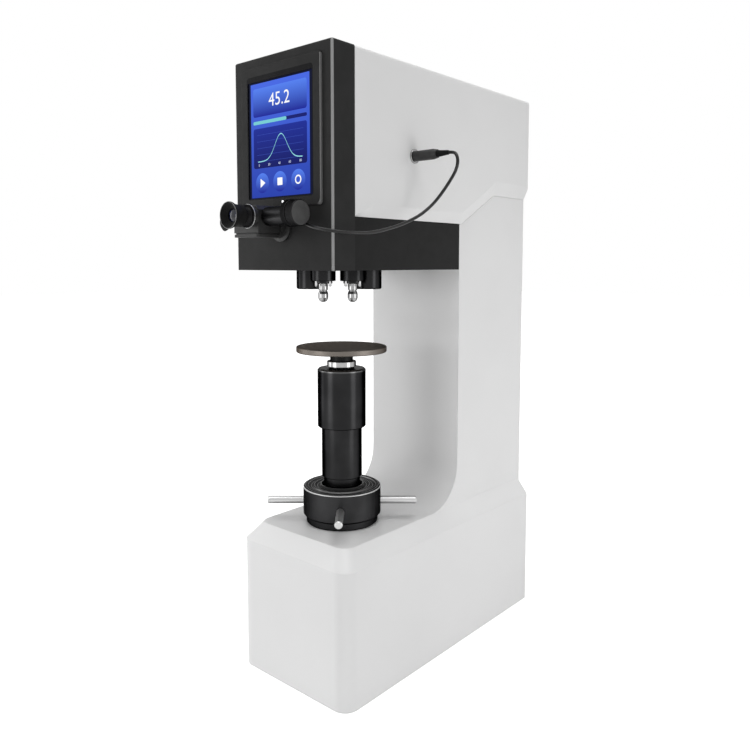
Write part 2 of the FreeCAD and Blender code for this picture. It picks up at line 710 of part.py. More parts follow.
shaft = piece("turret_shaft", s.turret_x, s.turret_y)
revolve(shaft, [(0, s.disc_top), (s.turret_shaft_radius + 4, s.disc_top),
                (s.turret_shaft_radius + 4, s.arm_bottom - 0.3), (s.turret_shaft_radius, s.arm_bottom - 0.3),
                (s.turret_shaft_radius, s.arm_top + 0.4), (s.turret_shaft_radius + 3, s.arm_top + 0.4),
                (s.turret_shaft_radius + 3, s.turret_shaft_top), (0, s.turret_shaft_top)])

turret_bush = piece("turret_bearing", s.turret_x, s.turret_y)
revolve(turret_bush, box(s.turret_shaft_radius + s.fit_gap, s.arm_bottom, bearing_radius, s.arm_top))

turret_drive = piece("turret_motor", s.turret_x, s.turret_y)
cup = s.turret_shaft_radius + 5
revolve(turret_drive, [(cup, s.arm_top), (cup + 3.5, s.arm_top), (cup + 3.5, s.turret_shaft_top + 6),
                       (cup + 2, s.turret_shaft_top + 6), (cup + 2, s.turret_shaft_top + 48),
                       (0, s.turret_shaft_top + 48), (0, s.turret_shaft_top + 1),
                       (cup, s.turret_shaft_top + 1)])

for side in ("left", "right"):
    x, y = station[side]
    holder = piece(f"indenter_holder_{side}", x, y)
    revolve(holder, [(s.plunger_radius + s.fit_gap, s.holder_bottom), (s.holder_radius - 5, s.holder_bottom),
                     (s.holder_radius - 4.4, s.holder_bottom + 0.6), (s.holder_radius - 4.4, s.holder_step),
                     (s.holder_radius - 0.8, s.holder_step), (s.holder_radius, s.holder_step + 0.8),
                     (s.holder_radius, flange_top), (stud_radius, flange_top),
                     (stud_radius, s.disc_bottom), (s.plunger_radius + s.fit_gap, s.disc_bottom)])
    indenter = piece(f"indenter_{side}", x, y)
    nose_top = s.holder_bottom - 0.5
    revolve(indenter, [(0, s.nose_tip), (2.5, s.nose_tip), (s.nose_radius - 1.6, s.nose_tip + 1.6),
                       (s.nose_radius, s.nose_tip + 5.5), (s.nose_radius, s.nose_tip + 10.5),
                       (s.nose_radius - 0.8, s.nose_tip + 13.6), (s.nose_radius - 1.7, s.nose_tip + 14.4),
                       (s.nose_radius - 1.7, s.nose_tip + 15.2), (s.nose_radius - 0.5, s.nose_tip + 16),
                       (s.nose_radius - 0.5, nose_top), (s.plunger_radius, nose_top),
                       (s.plunger_radius, s.plunger_top - 0.5), (s.plunger_radius - 0.5, s.plunger_top),
                       (0, s.plunger_top)])

for side in ("rear", "side"):
    x, y = station[side]
    objective = piece(f"objective_{side}", x, y)
    revolve(objective, [(5, s.objective_bottom + 1.5), (9, s.objective_bottom),
                        (s.objective_radius - 1.5, s.objective_bottom),
                        (s.objective_radius, s.objective_bottom + 1.5),
                        (s.objective_radius, flange_top), (stud_radius, flange_top),
                        (stud_radius, s.disc_bottom), (5, s.disc_bottom)])

lenses = []
for side in ("rear", "side"):
    x, y = station[side]
    low = NUMBERS["objective_bottom"] + 3
    lens = Part.makeCylinder(5, 4, Vector(0, 0, low))
    ball = Part.makeSphere(12, Vector(0, 0, low + 12))
    lenses.append((lens.common(ball), Placement(Vector(x.number, y.number, 0), Rotation())))
group("objective_lenses", lenses)

# Loading train inside the head
guide = piece("shaft_guide")
revolve(guide, [(s.load_shaft_radius + s.fit_gap, s.arm_bottom), (guide_radius, s.arm_bottom),
                (guide_radius, s.arm_top), (guide_radius + 3, s.arm_top), (guide_radius + 3, s.arm_top + 6),
                (s.load_shaft_radius + s.fit_gap, s.arm_top + 6)])

load_shaft = piece("load_shaft")
revolve(load_shaft, [(0, s.load_shaft_bottom), (s.plunger_radius, s.load_shaft_bottom),
                     (s.load_shaft_radius, s.load_shaft_bottom + 3),
                     (s.load_shaft_radius, s.load_shaft_top - 1),
                     (s.load_shaft_radius - 3, s.load_shaft_top), (0, s.load_shaft_top)])

lever_low = s.load_shaft_top + s.lever_gap
lever_high = lever_low + s.lever_height
pivot_height = lever_low + s.lever_height / 2
lever = piece("load_lever")
extrude(lever, "YZ", -s.lever_width / 2, s.lever_width / 2,
        [(-14, lever_low), (14, lever_low), (20, lever_low + 4), (s.pivot_y - 30, lever_low),
         (s.load_screw_y + 16, lever_low), (s.load_screw_y + 16, lever_low + 14),
         (s.pivot_y + 30, lever_high), (s.pivot_y - 30, lever_high), (-14, lever_low + 16)])
extrude(lever, "YZ", -s.lever_width / 2, s.lever_width / 2,
        circle(s.pivot_y, pivot_height, s.pivot_radius + s.fit_gap), cut=True)
extrude(lever, "XY", lever_low, lever_high,
        box(-s.load_screw_radius - 1.5, s.load_screw_y - 14, s.load_screw_radius + 1.5, s.load_screw_y + 17),
        cut=True)

bracket = piece("lever_bracket")
cheek = s.lever_width / 2 + 1
extrude(bracket, "XY", s.arm_top, s.arm_top + 8,
        rounded(-cheek - 8, s.pivot_y - 28, cheek + 8, s.pivot_y + 28, 4))
for side in (-1, 1):
    low = cheek if side > 0 else -cheek - 8
    extrude(bracket, "YZ", low, low + 8,
            [(s.pivot_y - 24, s.arm_top + 8), (s.pivot_y + 24, s.arm_top + 8),
             (s.pivot_y + 12, pivot_height), (s.pivot_y - 12, pivot_height, 13)])
extrude(bracket, "YZ", -cheek - 8, cheek + 8,
        circle(s.pivot_y, pivot_height, s.pivot_radius), cut=True)

pin = piece("pivot_pin", 0, s.pivot_y, pivot_height, SIDEWAYS)
revolve(pin, box(as_size(0), -cheek - 8, s.pivot_radius, cheek + 8))

load_screw = piece("load_screw", 0, s.load_screw_y)
revolve(load_screw, [(0, s.service_top), (s.load_screw_radius, s.service_top),
                     (s.load_screw_radius, s.load_screw_top - 1),
                     (s.load_screw_radius - 1, s.load_screw_top), (0, s.load_screw_top)])

load_nut = piece("load_nut", 0, s.load_screw_y)
cell_low = lever_low - 6.4
revolve(load_nut, [(s.load_screw_radius + s.thread_gap, cell_low - 12), (18, cell_low - 12),
                   (18, cell_low - 5), (12, cell_low - 4), (12, cell_low),
                   (s.load_screw_radius + s.thread_gap, cell_low)])

cell = piece("load_cell", 0, s.load_screw_y)
revolve(cell, [(s.load_screw_radius + 1, cell_low), (19, cell_low), (19, cell_low + 4),
               (13, cell_low + 4), (13, cell_low + 6), (s.load_screw_radius + 1, cell_low + 6)])

motor = piece("loading_motor")
motor_low = s.service_top - s.motor_length
extrude(motor, "XY", motor_low, s.service_top,
        rounded(-s.motor_width / 2, s.load_screw_y - s.motor_width / 2,
                s.motor_width / 2, s.load_screw_y + s.motor_width / 2, 4))
for level in (0.18, 0.82):
    notch = motor_low + s.motor_length * level
    extrude(motor, "XY", notch, notch + 2,
            rounded(-s.motor_width / 2, s.load_screw_y - s.motor_width / 2,
                    s.motor_width / 2, s.load_screw_y + s.motor_width / 2, 4),
            rounded(-s.motor_width / 2 + 1.5, s.load_screw_y - s.motor_width / 2 + 1.5,
                    s.motor_width / 2 - 1.5, s.load_screw_y + s.motor_width / 2 - 1.5, 3), cut=True)

supply = piece("power_supply")
extrude(supply, "XY", service_bottom + 20, service_bottom + 170,
        box(-48, s.service_front, 48, s.service_front + 38))
vent = extrude(supply, "XZ", s.service_front + 35, s.service_front + 38,
               box(-40, service_bottom + 32, 40, service_bottom + 35), cut=True)
repeat(supply, vent, 10, length=as_size(110), axis="Z_Axis")

board = piece("control_board")
extrude(board, "XZ", s.service_front + 6, s.service_front + 8,
        box(-52, service_bottom + 182, 52, service_bottom + 292))
extrude(board, "XZ", s.service_front, s.service_front + 6,
        *[circle(x, service_bottom + z, 4) for x in (-46, 46) for z in (188, 286)])
extrude(board, "XZ", s.service_front + 8, s.service_front + 18,
        box(-44, service_bottom + 196, -20, service_bottom + 244),
        box(-10, service_bottom + 196, 12, service_bottom + 222),
        box(24, service_bottom + 196, 46, service_bottom + 280))

rear = piece("rear_cover")
extrude(rear, "XZ", s.base_rear, s.base_rear + 1.5,
        rounded(-s.service_width / 2 - 8, service_bottom - 8,
                s.service_width / 2 + 8, s.service_top + 8, 6))
louvre = extrude(rear, "XZ", s.base_rear, s.base_rear + 1.5,
                 rounded(-40, service_bottom + 40, 40, service_bottom + 44, 1.9), cut=True)
repeat(rear, louvre, 12, length=as_size(110), axis="Z_Axis")

screws = []
for x in (-1, 1):
    for z in (0, 0.5, 1):
        height = service_bottom.number - 4 + z * (NUMBERS["service_top"] - service_bottom.number + 8)
        place = Placement(Vector(x * (NUMBERS["service_width"] / 2 + 4), NUMBERS["base_rear"] + 1.5, height),
                          Rotation(Vector(1, 0, 0), -90))
        screws.append((screw_shape(3.2, 1.8, 1.4, 1.5, 1.4), place))
group("rear_cover_screws", screws)
extrude(rear, "XZ", s.base_rear, s.base_rear + 1.5,
        *[circle(x * (s.service_width / 2 + 4),
                 service_bottom - 4 + (s.service_top - service_bottom + 8) * z, 1.7)
          for x in (-1, 1) for z in (0, 0.5, 1)], cut=True)

# Head: shell, skirt and front cover
shell = piece("head_shell")
low_line = [(-s.cover_back, s.head_top), (-s.cover_back, s.skirt_top),
            (-s.cover_back + s.hip_length, s.skirt_top), (s.ramp_front, s.skirt_top),
            (s.ramp_rear, ramp_top), (head_rear, ramp_top), (head_rear, s.head_top)]
high_line = [(-s.cover_back, s.head_top), (-s.cover_back, s.skirt_top),
             (-s.cover_back + s.hip_length, s.skirt_top + s.bevel_front),
             (s.ramp_front - s.head_overhang, s.skirt_top + s.bevel_front),
             (s.ramp_rear - s.head_overhang / 2, ramp_top + s.bevel_rear),
             (head_rear, ramp_top + s.bevel_rear), (head_rear, s.head_top)]
extrude(shell, "YZ", -half_column, half_column, low_line)
for side in (-1, 1):
    ruled_loft(shell, "YZ", side * half_column, low_line, side * half_head, high_line)
extrude(shell, "YZ", -half_head - 1, half_head + 1,
        [(s.base_rear, ramp_top - 1), (head_rear + 1, ramp_top - 1),
         (head_rear + 1, ramp_top + s.bevel_rear), (head_rear, ramp_top + s.bevel_rear),
         (s.base_rear, ramp_top)], cut=True)
soften(shell, s.head_round, lambda edge, p: (
    near(p.z, s.head_top) and not near(p.y, -s.cover_back)) or (
    upright(edge) and near(p.y, head_rear)))
extrude(shell, "YZ", -half_column + s.shell_wall, half_column - s.shell_wall,
        [(-s.cover_back - 1, s.skirt_top - 1), (s.ramp_front, s.skirt_top - 1),
         (s.ramp_rear, ramp_top - 1), (s.base_rear - s.shell_wall, ramp_top - 1),
         (s.base_rear - s.shell_wall, s.head_top - s.shell_wall),
         (-s.cover_back - 1, s.head_top - s.shell_wall)], cut=True)
extrude(shell, "YZ", -half_head + s.shell_wall, half_head - s.shell_wall,
        [(-s.cover_back - 1, s.skirt_top + s.bevel_front + 3),
         (s.ramp_front - s.head_overhang, s.skirt_top + s.bevel_front + 3),
         (s.ramp_rear - s.head_overhang / 2, ramp_top + s.bevel_rear + 3),
         (head_rear - s.head_round, ramp_top + s.bevel_rear + 3),
         (head_rear - s.head_round, s.head_top - s.head_round),
         (-s.cover_back - 1, s.head_top - s.head_round)], cut=True)
extrude(shell, "YZ", half_column, half_head + 1,
        circle(s.plug_y, s.plug_height, s.socket_radius - 3), cut=True)

skirt = piece("head_skirt")
extrude(skirt, "XY", s.head_bottom, s.skirt_top,
        box(-half_column, -s.cover_back, half_column, s.throat_depth))
extrude(skirt, "XY", s.head_bottom + s.skirt_floor, s.skirt_top,
        box(-half_column + s.skirt_wall, -s.cover_back - 1,
            half_column - s.skirt_wall, s.throat_depth + 1), cut=True)
extrude(skirt, "XY", s.head_bottom, s.head_bottom + s.skirt_floor,
        circle(s.turret_x, s.turret_y, s.disc_radius + 1), cut=True)

cover = piece("front_cover")
extrude(cover, "XZ", -cover_front, -s.cover_back,
        box(-half_head, s.head_bottom, half_head, s.head_top))
soften(cover, s.cover_edge, lambda edge, p: (
    near(p.y, -cover_front) and not near(p.z, s.head_bottom)) or (
    near(p.z, s.head_top) and near(abs(p.x), half_head)))
rim = s.cover_wall + 5
extrude(cover, "XZ", -s.cover_back - 2, -s.cover_back,
        box(-half_head + rim + 1, s.head_bottom + s.cover_wall, half_head - rim - 1,
            s.head_top - s.cover_wall), cut=True)
extrude(cover, "XZ", -cover_front + s.cover_wall, -s.cover_back - 2,
        box(-half_head + s.cover_wall, s.head_bottom + s.cover_wall, half_head - s.cover_wall,
            s.head_top - s.cover_wall), cut=True)
recess = s.fascia_width / 2 + s.seat_gap
extrude(cover, "XZ", -cover_front, -cover_front + s.fascia_depth,
        rounded(-recess, s.fascia_bottom - s.seat_gap, recess, s.fascia_top + s.seat_gap,
                s.fascia_corner + s.seat_gap), cut=True)
extrude(cover, "XZ", -cover_front + s.fascia_depth, -cover_front + s.cover_wall,
        box(-s.glass_width / 2 - s.seat_gap, s.glass_bottom - s.seat_gap,
            s.glass_width / 2 + s.seat_gap, s.glass_top + s.seat_gap), cut=True)
extrude(cover, "XZ", -cover_front, -cover_front + s.cover_wall,
        circle(0, s.eyepiece_height, s.spigot_radius + s.fit_gap), cut=True)

fascia = piece("screen_fascia")
fascia_front = -cover_front - s.fascia_rise
glass_front = fascia_front + s.glass_inset
extrude(fascia, "XZ", fascia_front, -cover_front + s.fascia_depth,
        rounded(-s.fascia_width / 2, s.fascia_bottom, s.fascia_width / 2, s.fascia_top, s.fascia_corner),
        box(-s.glass_width / 2 + s.window_border, s.glass_bottom + s.window_border,
            s.glass_width / 2 - s.window_border, s.glass_top - s.window_border))
extrude(fascia, "XZ", glass_front, -cover_front + s.fascia_depth,
        box(-s.glass_width / 2 - s.seat_gap, s.glass_bottom - s.seat_gap,
            s.glass_width / 2 + s.seat_gap, s.glass_top + s.seat_gap), cut=True)
soften(fascia, 0.8, lambda edge, p: near(p.y, fascia_front.number) and not (
    abs(p.x) < NUMBERS["glass_width"] / 2 and
    NUMBERS["glass_bottom"] < p.z < NUMBERS["glass_top"]))
extrude(fascia, "XZ", fascia_front, -cover_front + s.fascia_depth,
        circle(s.lamp_x, s.lamp_height, s.lamp_radius + s.fit_gap), cut=True)

lamp = piece("status_lamp", s.lamp_x, -cover_front, s.lamp_height, FORWARD)
revolve(lamp, [(0, as_size(-1)), (s.lamp_radius, as_size(-1)), (s.lamp_radius, s.fascia_rise),
               (s.lamp_radius - 0.7, s.fascia_rise + 0.5), (0, s.fascia_rise + 0.7)])

glass = piece("touch_screen")
extrude(glass, "XZ", glass_front, glass_front + s.glass_thickness,
        box(-s.glass_width / 2, s.glass_bottom, s.glass_width / 2, s.glass_top))

display = piece("display_unit")
display_front = glass_front + s.glass_thickness
extrude(display, "XZ", display_front, display_front + s.display_depth,
        rounded(-s.glass_width / 2 + 1, s.glass_bottom + 1, s.glass_width / 2 - 1, s.glass_top - 1, 2))

# Mains inlet and switch in the base's rear wall
inlet = piece("power_inlet")
extrude(inlet, "XZ", s.base_rear, s.base_rear + 2.5,
        rounded(s.inlet_x - s.inlet_width / 2 - 3, s.inlet_height - s.inlet_length / 2 - 3,
                s.inlet_x + s.inlet_width / 2 + 3, s.inlet_height + s.inlet_length / 2 + 3, 3))
extrude(inlet, "XZ", s.base_rear - 34, s.base_rear,
        box(s.inlet_x - s.inlet_width / 2 + s.seat_gap, s.inlet_height - s.inlet_length / 2 + s.seat_gap,
            s.inlet_x + s.inlet_width / 2 - s.seat_gap, s.inlet_height + s.inlet_length / 2 - s.seat_gap))
socket_low = s.inlet_height - 28
extrude(inlet, "XZ", s.base_rear - 14, s.base_rear + 2.5,
        [(s.inlet_x - 12, socket_low), (s.inlet_x + 12, socket_low), (s.inlet_x + 12, socket_low + 11),
         (s.inlet_x + 7, socket_low + 16), (s.inlet_x - 7, socket_low + 16),
         (s.inlet_x - 12, socket_low + 11)],
        cut=True)
blade = 1.2
extrude(inlet, "XZ", s.base_rear - 15, s.base_rear - 4,
        box(s.inlet_x - 7 - blade, socket_low + 4, s.inlet_x - 7 + blade, socket_low + 8),
        box(s.inlet_x + 7 - blade, socket_low + 4, s.inlet_x + 7 + blade, socket_low + 8),
        box(s.inlet_x - blade, socket_low + 8, s.inlet_x + blade, socket_low + 12))
rocker_height = s.inlet_height + 17
extrude(inlet, "XZ", s.base_rear - 12, s.base_rear + 2.5,
        box(s.inlet_x - 9.5, rocker_height - 13, s.inlet_x + 9.5, rocker_height + 13), cut=True)

rocker = piece("power_rocker")
rocker_y = s.base_rear - 3
extrude(rocker, "YZ", s.inlet_x - 8.9, s.inlet_x + 8.9,
        [(rocker_y - 5, rocker_height - 8), (rocker_y + 4.5, rocker_height - 11.5),
         (rocker_y + 4.5, rocker_height), (rocker_y + 7.5, rocker_height + 11.2),
         (rocker_y - 5, rocker_height + 8)])

# Measuring eyepiece
mount = piece("eyepiece_boss", 0, -cover_front, s.eyepiece_height, FORWARD)
revolve(mount, [(s.spigot_radius + s.fit_gap, as_size(0)), (s.boss_flange_radius, as_size(0)),
                (s.boss_flange_radius, as_size(3)), (s.boss_tube_radius, as_size(4)),
                (s.boss_tube_radius, s.boss_length), (s.spigot_radius + s.fit_gap, s.boss_length)])

housing = piece("eyepiece_housing")
block_bottom = s.housing_bottom + s.housing_slab + 1.5
extrude(housing, "XZ", -s.housing_front, -s.housing_back,
        [(-s.housing_left, block_bottom), (s.housing_right, block_bottom),
         (s.housing_right, s.housing_top - 5), (s.housing_right - 5, s.housing_top),
         (-s.housing_left + 9, s.housing_top), (-s.housing_left, s.housing_top - 9)])
extrude(housing, "XY", s.housing_bottom, s.housing_bottom + s.housing_slab,
        rounded(-s.housing_left, -s.housing_front - 1, s.housing_right, -s.housing_back, 3))
extrude(housing, "XY", s.housing_bottom + s.housing_slab, block_bottom,
        box(-s.housing_left + 1.5, -s.housing_front + 1.5, s.housing_right - 1.5, -s.housing_back))
extrude(housing, "XZ", -s.housing_back, -cover_front + 1,
        circle(0, s.eyepiece_height, s.spigot_radius))
extrude(housing, "XZ", -s.housing_front - 6, -s.housing_front,
        circle(0, s.ocular_height, s.ocular_tube_radius))

ocular = piece("ocular_ring", 0, -s.housing_front - 6, s.ocular_height, FORWARD)
ocular_reach = s.ocular_front - s.housing_front - 6
revolve(ocular, [(9, as_size(0)), (s.ocular_radius - 0.6, as_size(0)), (s.ocular_radius, as_size(0.6)),
                 (s.ocular_radius, as_size(2.6)), (s.ocular_radius - 0.6, as_size(3.2)),
                 (s.ocular_tube_radius, as_size(3.4)), (s.ocular_tube_radius, ocular_reach - 4),
                 (s.ocular_tube_radius + 1, ocular_reach), (9, ocular_reach)])

eyecup = piece("eyecup", 0, -s.ocular_front, s.ocular_height, FORWARD)
cup_reach = s.eyecup_front - s.ocular_front
revolve(eyecup, [(9, as_size(0)), (s.ocular_tube_radius + 1, as_size(0)),
                 (s.ocular_tube_radius + 1.5, cup_reach * 0.4),
                 (s.eyecup_radius, cup_reach - 2), (s.eyecup_radius, cup_reach - 0.6),
                 (s.eyecup_radius - 0.6, cup_reach), (s.eyecup_radius - 2.2, cup_reach),
                 (s.eyecup_radius - 3, cup_reach - 1), (s.eyecup_radius - 5, cup_reach * 0.4),
                 (9, as_size(4))])

lens = piece("eye_lens", 0, -s.ocular_front, s.ocular_height, FORWARD)
revolve(lens, [(0, ocular_reach * -0.5), (8.9, ocular_reach * -0.5), (8.9, as_size(1.5)),
               (5, as_size(3)), (0, as_size(3.6))])

neck = piece("drum_neck", 0, -s.drum_y, s.drum_height, SIDEWAYS)
revolve(neck, [(0, s.housing_right), (s.neck_radius + 1.5, s.housing_right),
               (s.neck_radius + 1.5, s.housing_right + 3), (s.neck_radius, s.housing_right + 4),
               (s.neck_radius, s.encoder_left), (0, s.encoder_left)])

encoder = piece("encoder_housing", 0, -s.drum_y, s.drum_height, SIDEWAYS)
revolve(encoder, [(0, s.encoder_left), (s.encoder_radius - 1, s.encoder_left),
                  (s.encoder_radius, s.encoder_left + 1), (s.encoder_radius, s.encoder_right),
                  (0, s.encoder_right)])

knob = piece("measuring_drum", 0, -s.drum_y, s.drum_height, SIDEWAYS)
knob_left = s.encoder_right + s.seat_gap
revolve(knob, [(0, knob_left), (s.knob_radius - 0.6, knob_left), (s.knob_radius, knob_left + 0.6),
               (s.knob_radius, s.knob_right - 0.8), (s.knob_radius - 0.8, s.knob_right), (0, s.knob_right)])

# Lead from the encoder to the plug: straight runs joined by tangent arcs
ROUTE = [Vector(50, -116, 588), Vector(69, -124.9, 581.9), Vector(91, -120.9, 577.1),
         Vector(108, -100, 573.7), Vector(114.5, -68, 574.5), Vector(114, -35.1, 581),
         Vector(113, -7, 588), Vector(115, 20, 598.5), Vector(121.5, 39, 613.5),
         Vector(132, 46, 630), Vector(144, 44, 642.5), Vector(153, 41.2, 652),
         Vector(156.3, 40.8, 661.8), Vector(153.6, 42.2, 670.2), Vector(147.2, 45.2, 675),
         Vector(139.4, 45.2, 675.3)]


def lead_path(points):
    """Wire through the route with an arc of 0.45 of the shorter run at each point."""
    edges = []
    last = points[0]
    radii = []
    for i in range(1, len(points) - 1):
        back = points[i - 1] - points[i]
        ahead = points[i + 1] - points[i]
        cut = 0.45 * min(back.Length, ahead.Length)
        half = (math.pi - back.getAngle(ahead)) / 2
        radii.append(cut / math.tan(half))
        first = points[i] + back.normalize() * cut
        second = points[i] + ahead.normalize() * cut
        inward = (back + ahead).normalize()
        top = points[i] + inward * (radii[-1] / math.cos(half) - radii[-1])
        edges.append(Part.LineSegment(last, first).toShape())
        edges.append(Part.Arc(first, top, second).toShape())
        last = second
    edges.append(Part.LineSegment(last, points[-1]).toShape())
    return Part.Wire(edges), radii


path, radii = lead_path(ROUTE)
lead_radius = NUMBERS["lead_diameter"] / 2
section = Part.Wire(Part.makeCircle(lead_radius, ROUTE[0], ROUTE[1] - ROUTE[0]))
lead = doc.addObject("Part::Feature", "eyepiece_lead")
lead.Label = "eyepiece_lead"
lead.Shape = path.makePipeShell([section], True, False)
bodies.append(lead)
expected = math.pi * lead_radius ** 2 * path.Length
print("lead arc radii", [round(radius, 1) for radius in radii])
print("lead length", round(path.Length, 1), "volume ratio", round(lead.Shape.Volume / expected, 4))

gland_shape = Part.makeCylinder(lead_radius + 1.6, 7, ROUTE[0] - (ROUTE[1] - ROUTE[0]).normalize() * 7,
                                ROUTE[1] - ROUTE[0])
gland = doc.addObject("Part::Feature", "lead_gland")
gland.Label = "lead_gland"
gland.Shape = gland_shape
bodies.append(gland)

socket = piece("lead_socket", 0, s.plug_y, s.plug_height, SIDEWAYS)
revolve(socket, [(0, half_head - 12), (s.socket_radius - 3 - s.seat_gap, half_head - 12),
                 (s.socket_radius - 3 - s.seat_gap, half_head), (s.socket_radius, half_head),
                 (s.socket_radius, half_head + s.socket_flange - 0.5),
                 (s.socket_radius - 0.5, half_head + s.socket_flange), (0, half_head + s.socket_flange)])

plug = piece("lead_plug", 0, s.plug_y, s.plug_height, SIDEWAYS)
plug_start = half_head + s.socket_flange
revolve(plug, [(0, plug_start), (s.plug_radius, plug_start), (s.plug_radius, s.plug_end - 6),
               (s.plug_radius - 1.2, s.plug_end), (0, s.plug_end)])

relief = piece("plug_boot", 0, s.plug_y, s.plug_height, SIDEWAYS)
revolve(relief, [(0, s.plug_end), (s.relief_radius + 0.6, s.plug_end),
                 (s.relief_radius, s.plug_end + 5), (s.relief_radius - 1, s.relief_end - 1),
                 (s.relief_radius - 1.3, s.relief_end), (0, s.relief_end)])

doc.recompute()
for item in doc.Objects:
    if "Invalid" in item.State or "Error" in item.State:
        raise ValueError(f"{item.Name} failed: {item.State}")
for item in bodies:
    if item.Shape.isNull() or not item.Shape.isValid():
        raise ValueError(f"{item.Label} has no valid shape")
os.makedirs("parts", exist_ok=True)
for item in bodies:
    item.Shape.exportStep(f"parts/{item.Label}.step")
print(len(bodies), "pieces written")
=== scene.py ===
"""Bench hardness tester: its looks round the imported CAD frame, laid out as an add-on.

Everything is in metres in the part's own frame. The spindle axis is the Z axis, the base
stands on Z = 0, -Y is the operator's side and +X is the operator's right.
"""

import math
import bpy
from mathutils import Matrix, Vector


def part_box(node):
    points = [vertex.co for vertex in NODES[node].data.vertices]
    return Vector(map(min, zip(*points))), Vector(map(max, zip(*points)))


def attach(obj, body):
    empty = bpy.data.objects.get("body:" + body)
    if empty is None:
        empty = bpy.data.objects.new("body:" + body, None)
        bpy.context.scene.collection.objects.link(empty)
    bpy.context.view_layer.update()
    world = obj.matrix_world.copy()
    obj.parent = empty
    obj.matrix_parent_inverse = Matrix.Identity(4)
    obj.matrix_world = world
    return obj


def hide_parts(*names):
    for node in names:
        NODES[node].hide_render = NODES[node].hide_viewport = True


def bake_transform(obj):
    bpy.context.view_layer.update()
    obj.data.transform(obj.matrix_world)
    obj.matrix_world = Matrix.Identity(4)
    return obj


bl_info = {
    "name": "Bench Hardness Tester",
    "version": (1, 0, 0),
    "blender": (4, 5, 0),
    "location": "3D View > Sidebar > Tester",
    "description": "Surfaces, finishes and studio for a bench hardness tester",
    "category": "Add Mesh",
}

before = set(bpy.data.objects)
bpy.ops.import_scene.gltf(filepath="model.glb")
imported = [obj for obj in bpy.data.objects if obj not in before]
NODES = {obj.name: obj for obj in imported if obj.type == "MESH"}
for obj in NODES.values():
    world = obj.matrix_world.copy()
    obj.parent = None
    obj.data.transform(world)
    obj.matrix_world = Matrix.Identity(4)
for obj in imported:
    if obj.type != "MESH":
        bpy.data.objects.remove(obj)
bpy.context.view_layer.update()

import bmesh
import bpy
import numpy as np
from bpy.props import FloatProperty, FloatVectorProperty, IntProperty, PointerProperty, StringProperty

MM = 0.001
X, Y, Z = np.eye(3)
GLASS_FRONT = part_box("touch_screen")[0][1]
PLATE_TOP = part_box("anvil")[1][2]
SENSOR_WIDTH = 36.0
LAYER_GAP = 0.00002
FLOOR_REACH = 12.0
FLOOR_DROP = 0.0004
LIGHTS_AIM = (0.0, 0.05, 0.45)
# Where the cover's painted edge highlights begin, and where the hub's top face, with its painted sheen,
# and the anvil's face end
COVER_SIDE = (0.0832, 0.0842)
COVER_FRONT = (0.1000, 0.1010)
HUB_FACE = (0.0495, 0.0499)
PLATE_FACE = (0.0155, 0.0156)
COVER_CORNER = 0.009
# The screen's window, rung by a band of painted shade, and its corner radius
WINDOW = ((-0.0585, 0.618), (0.058, 0.7665))
WINDOW_CORNER = 0.004
# Along Y, where the skirt's painted shadow at its joint with the cover ends
SKIRT_SEAM_SHADOW = -0.0648
FINE_LINES = (60, 60, 2600)
WHITE = (1.0, 1.0, 1.0)
FULL = (255, 255, 255)


def grey(level):
    """A grey of one level of light."""
    return (level, level, level)


def display_colour(levels):
    """A display colour from its three 0 to 255 levels, as linear light."""
    share = np.array(levels) / 255
    return tuple(np.where(share < 0.04045, share / 12.92, ((share + 0.055) / 1.055) ** 2.4).tolist())


def extent(node):
    """A node's lowest and highest corner and the point midway between them."""
    low, high = np.array(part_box(node))
    return low, high, (low + high) / 2


# Shader maths


class Value:
    """A shader socket that takes part in Python sums. Each operation adds one Math node."""

    def __init__(self, nodes, socket):
        self.nodes = nodes
        self.socket = socket

    def maths(self, operation, *operands):
        """Adds a Math node with the operation and gives its result."""
        node = self.nodes.node("ShaderNodeMath", {"operation": operation}, *operands)
        return Value(self.nodes, node.outputs[0])

    def __add__(self, other):
        return self.maths("ADD", self, other)

    def __radd__(self, other):
        return self.maths("ADD", other, self)

    def __sub__(self, other):
        return self.maths("SUBTRACT", self, other)

    def __rsub__(self, other):
        return self.maths("SUBTRACT", other, self)

    def __mul__(self, other):
        return self.maths("MULTIPLY", self, other)

    def __rmul__(self, other):
        return self.maths("MULTIPLY", other, self)

    def __abs__(self):
        return self.maths("ABSOLUTE", self)

    def sine(self):
        """Its sine, as an angle in radians."""
        return self.maths("SINE", self)

    def root(self):
        """Its square root."""
        return self.maths("SQRT", self)

    def most(self, other):
        """The larger of the two."""
        return self.maths("MAXIMUM", self, other)

    def rise(self, low, high, start=0.0, end=1.0):
        """Goes smoothly from start, where the value is low, to end, where it is high."""
        smooth = {"interpolation_type": "SMOOTHSTEP"}
        node = self.nodes.node("ShaderNodeMapRange", smooth, self, low, high, start, end)
        return Value(self.nodes, node.outputs[0])


class Nodes:
    """An emptied node tree and the one way to add nodes to it."""

    def __init__(self, tree):
        self.tree = tree
        self.tree.nodes.clear()

    def node(self, kind, settings=None, *sockets, **named):
        """Adds a node of the kind, applies its settings first, then fills or links its sockets."""
        made = self.tree.nodes.new(kind)
        for key, value in (settings or {}).items():
            setattr(made, key, value)
        for place, value in [*enumerate(sockets), *named.items()]:
            self.fill(made.inputs[place], value)
        return made

    def fill(self, socket, value):
        """Links the socket when the value is a socket, and otherwise sets it."""
        source = value.socket if isinstance(value, Value) else value
        if isinstance(source, bpy.types.NodeSocket):
            self.tree.links.new(source, socket)
        else:
            socket.default_value = source

    def seen_white(self):
        """1 for rays from the camera, off gloss and through glass, and 0 for all others."""
        path = self.node("ShaderNodeLightPath")
        camera, gloss, glass = (
            Value(self, path.outputs[f"Is {kind} Ray"]) for kind in ("Camera", "Glossy", "Transmission")
        )
        return camera.most(gloss).most(glass)


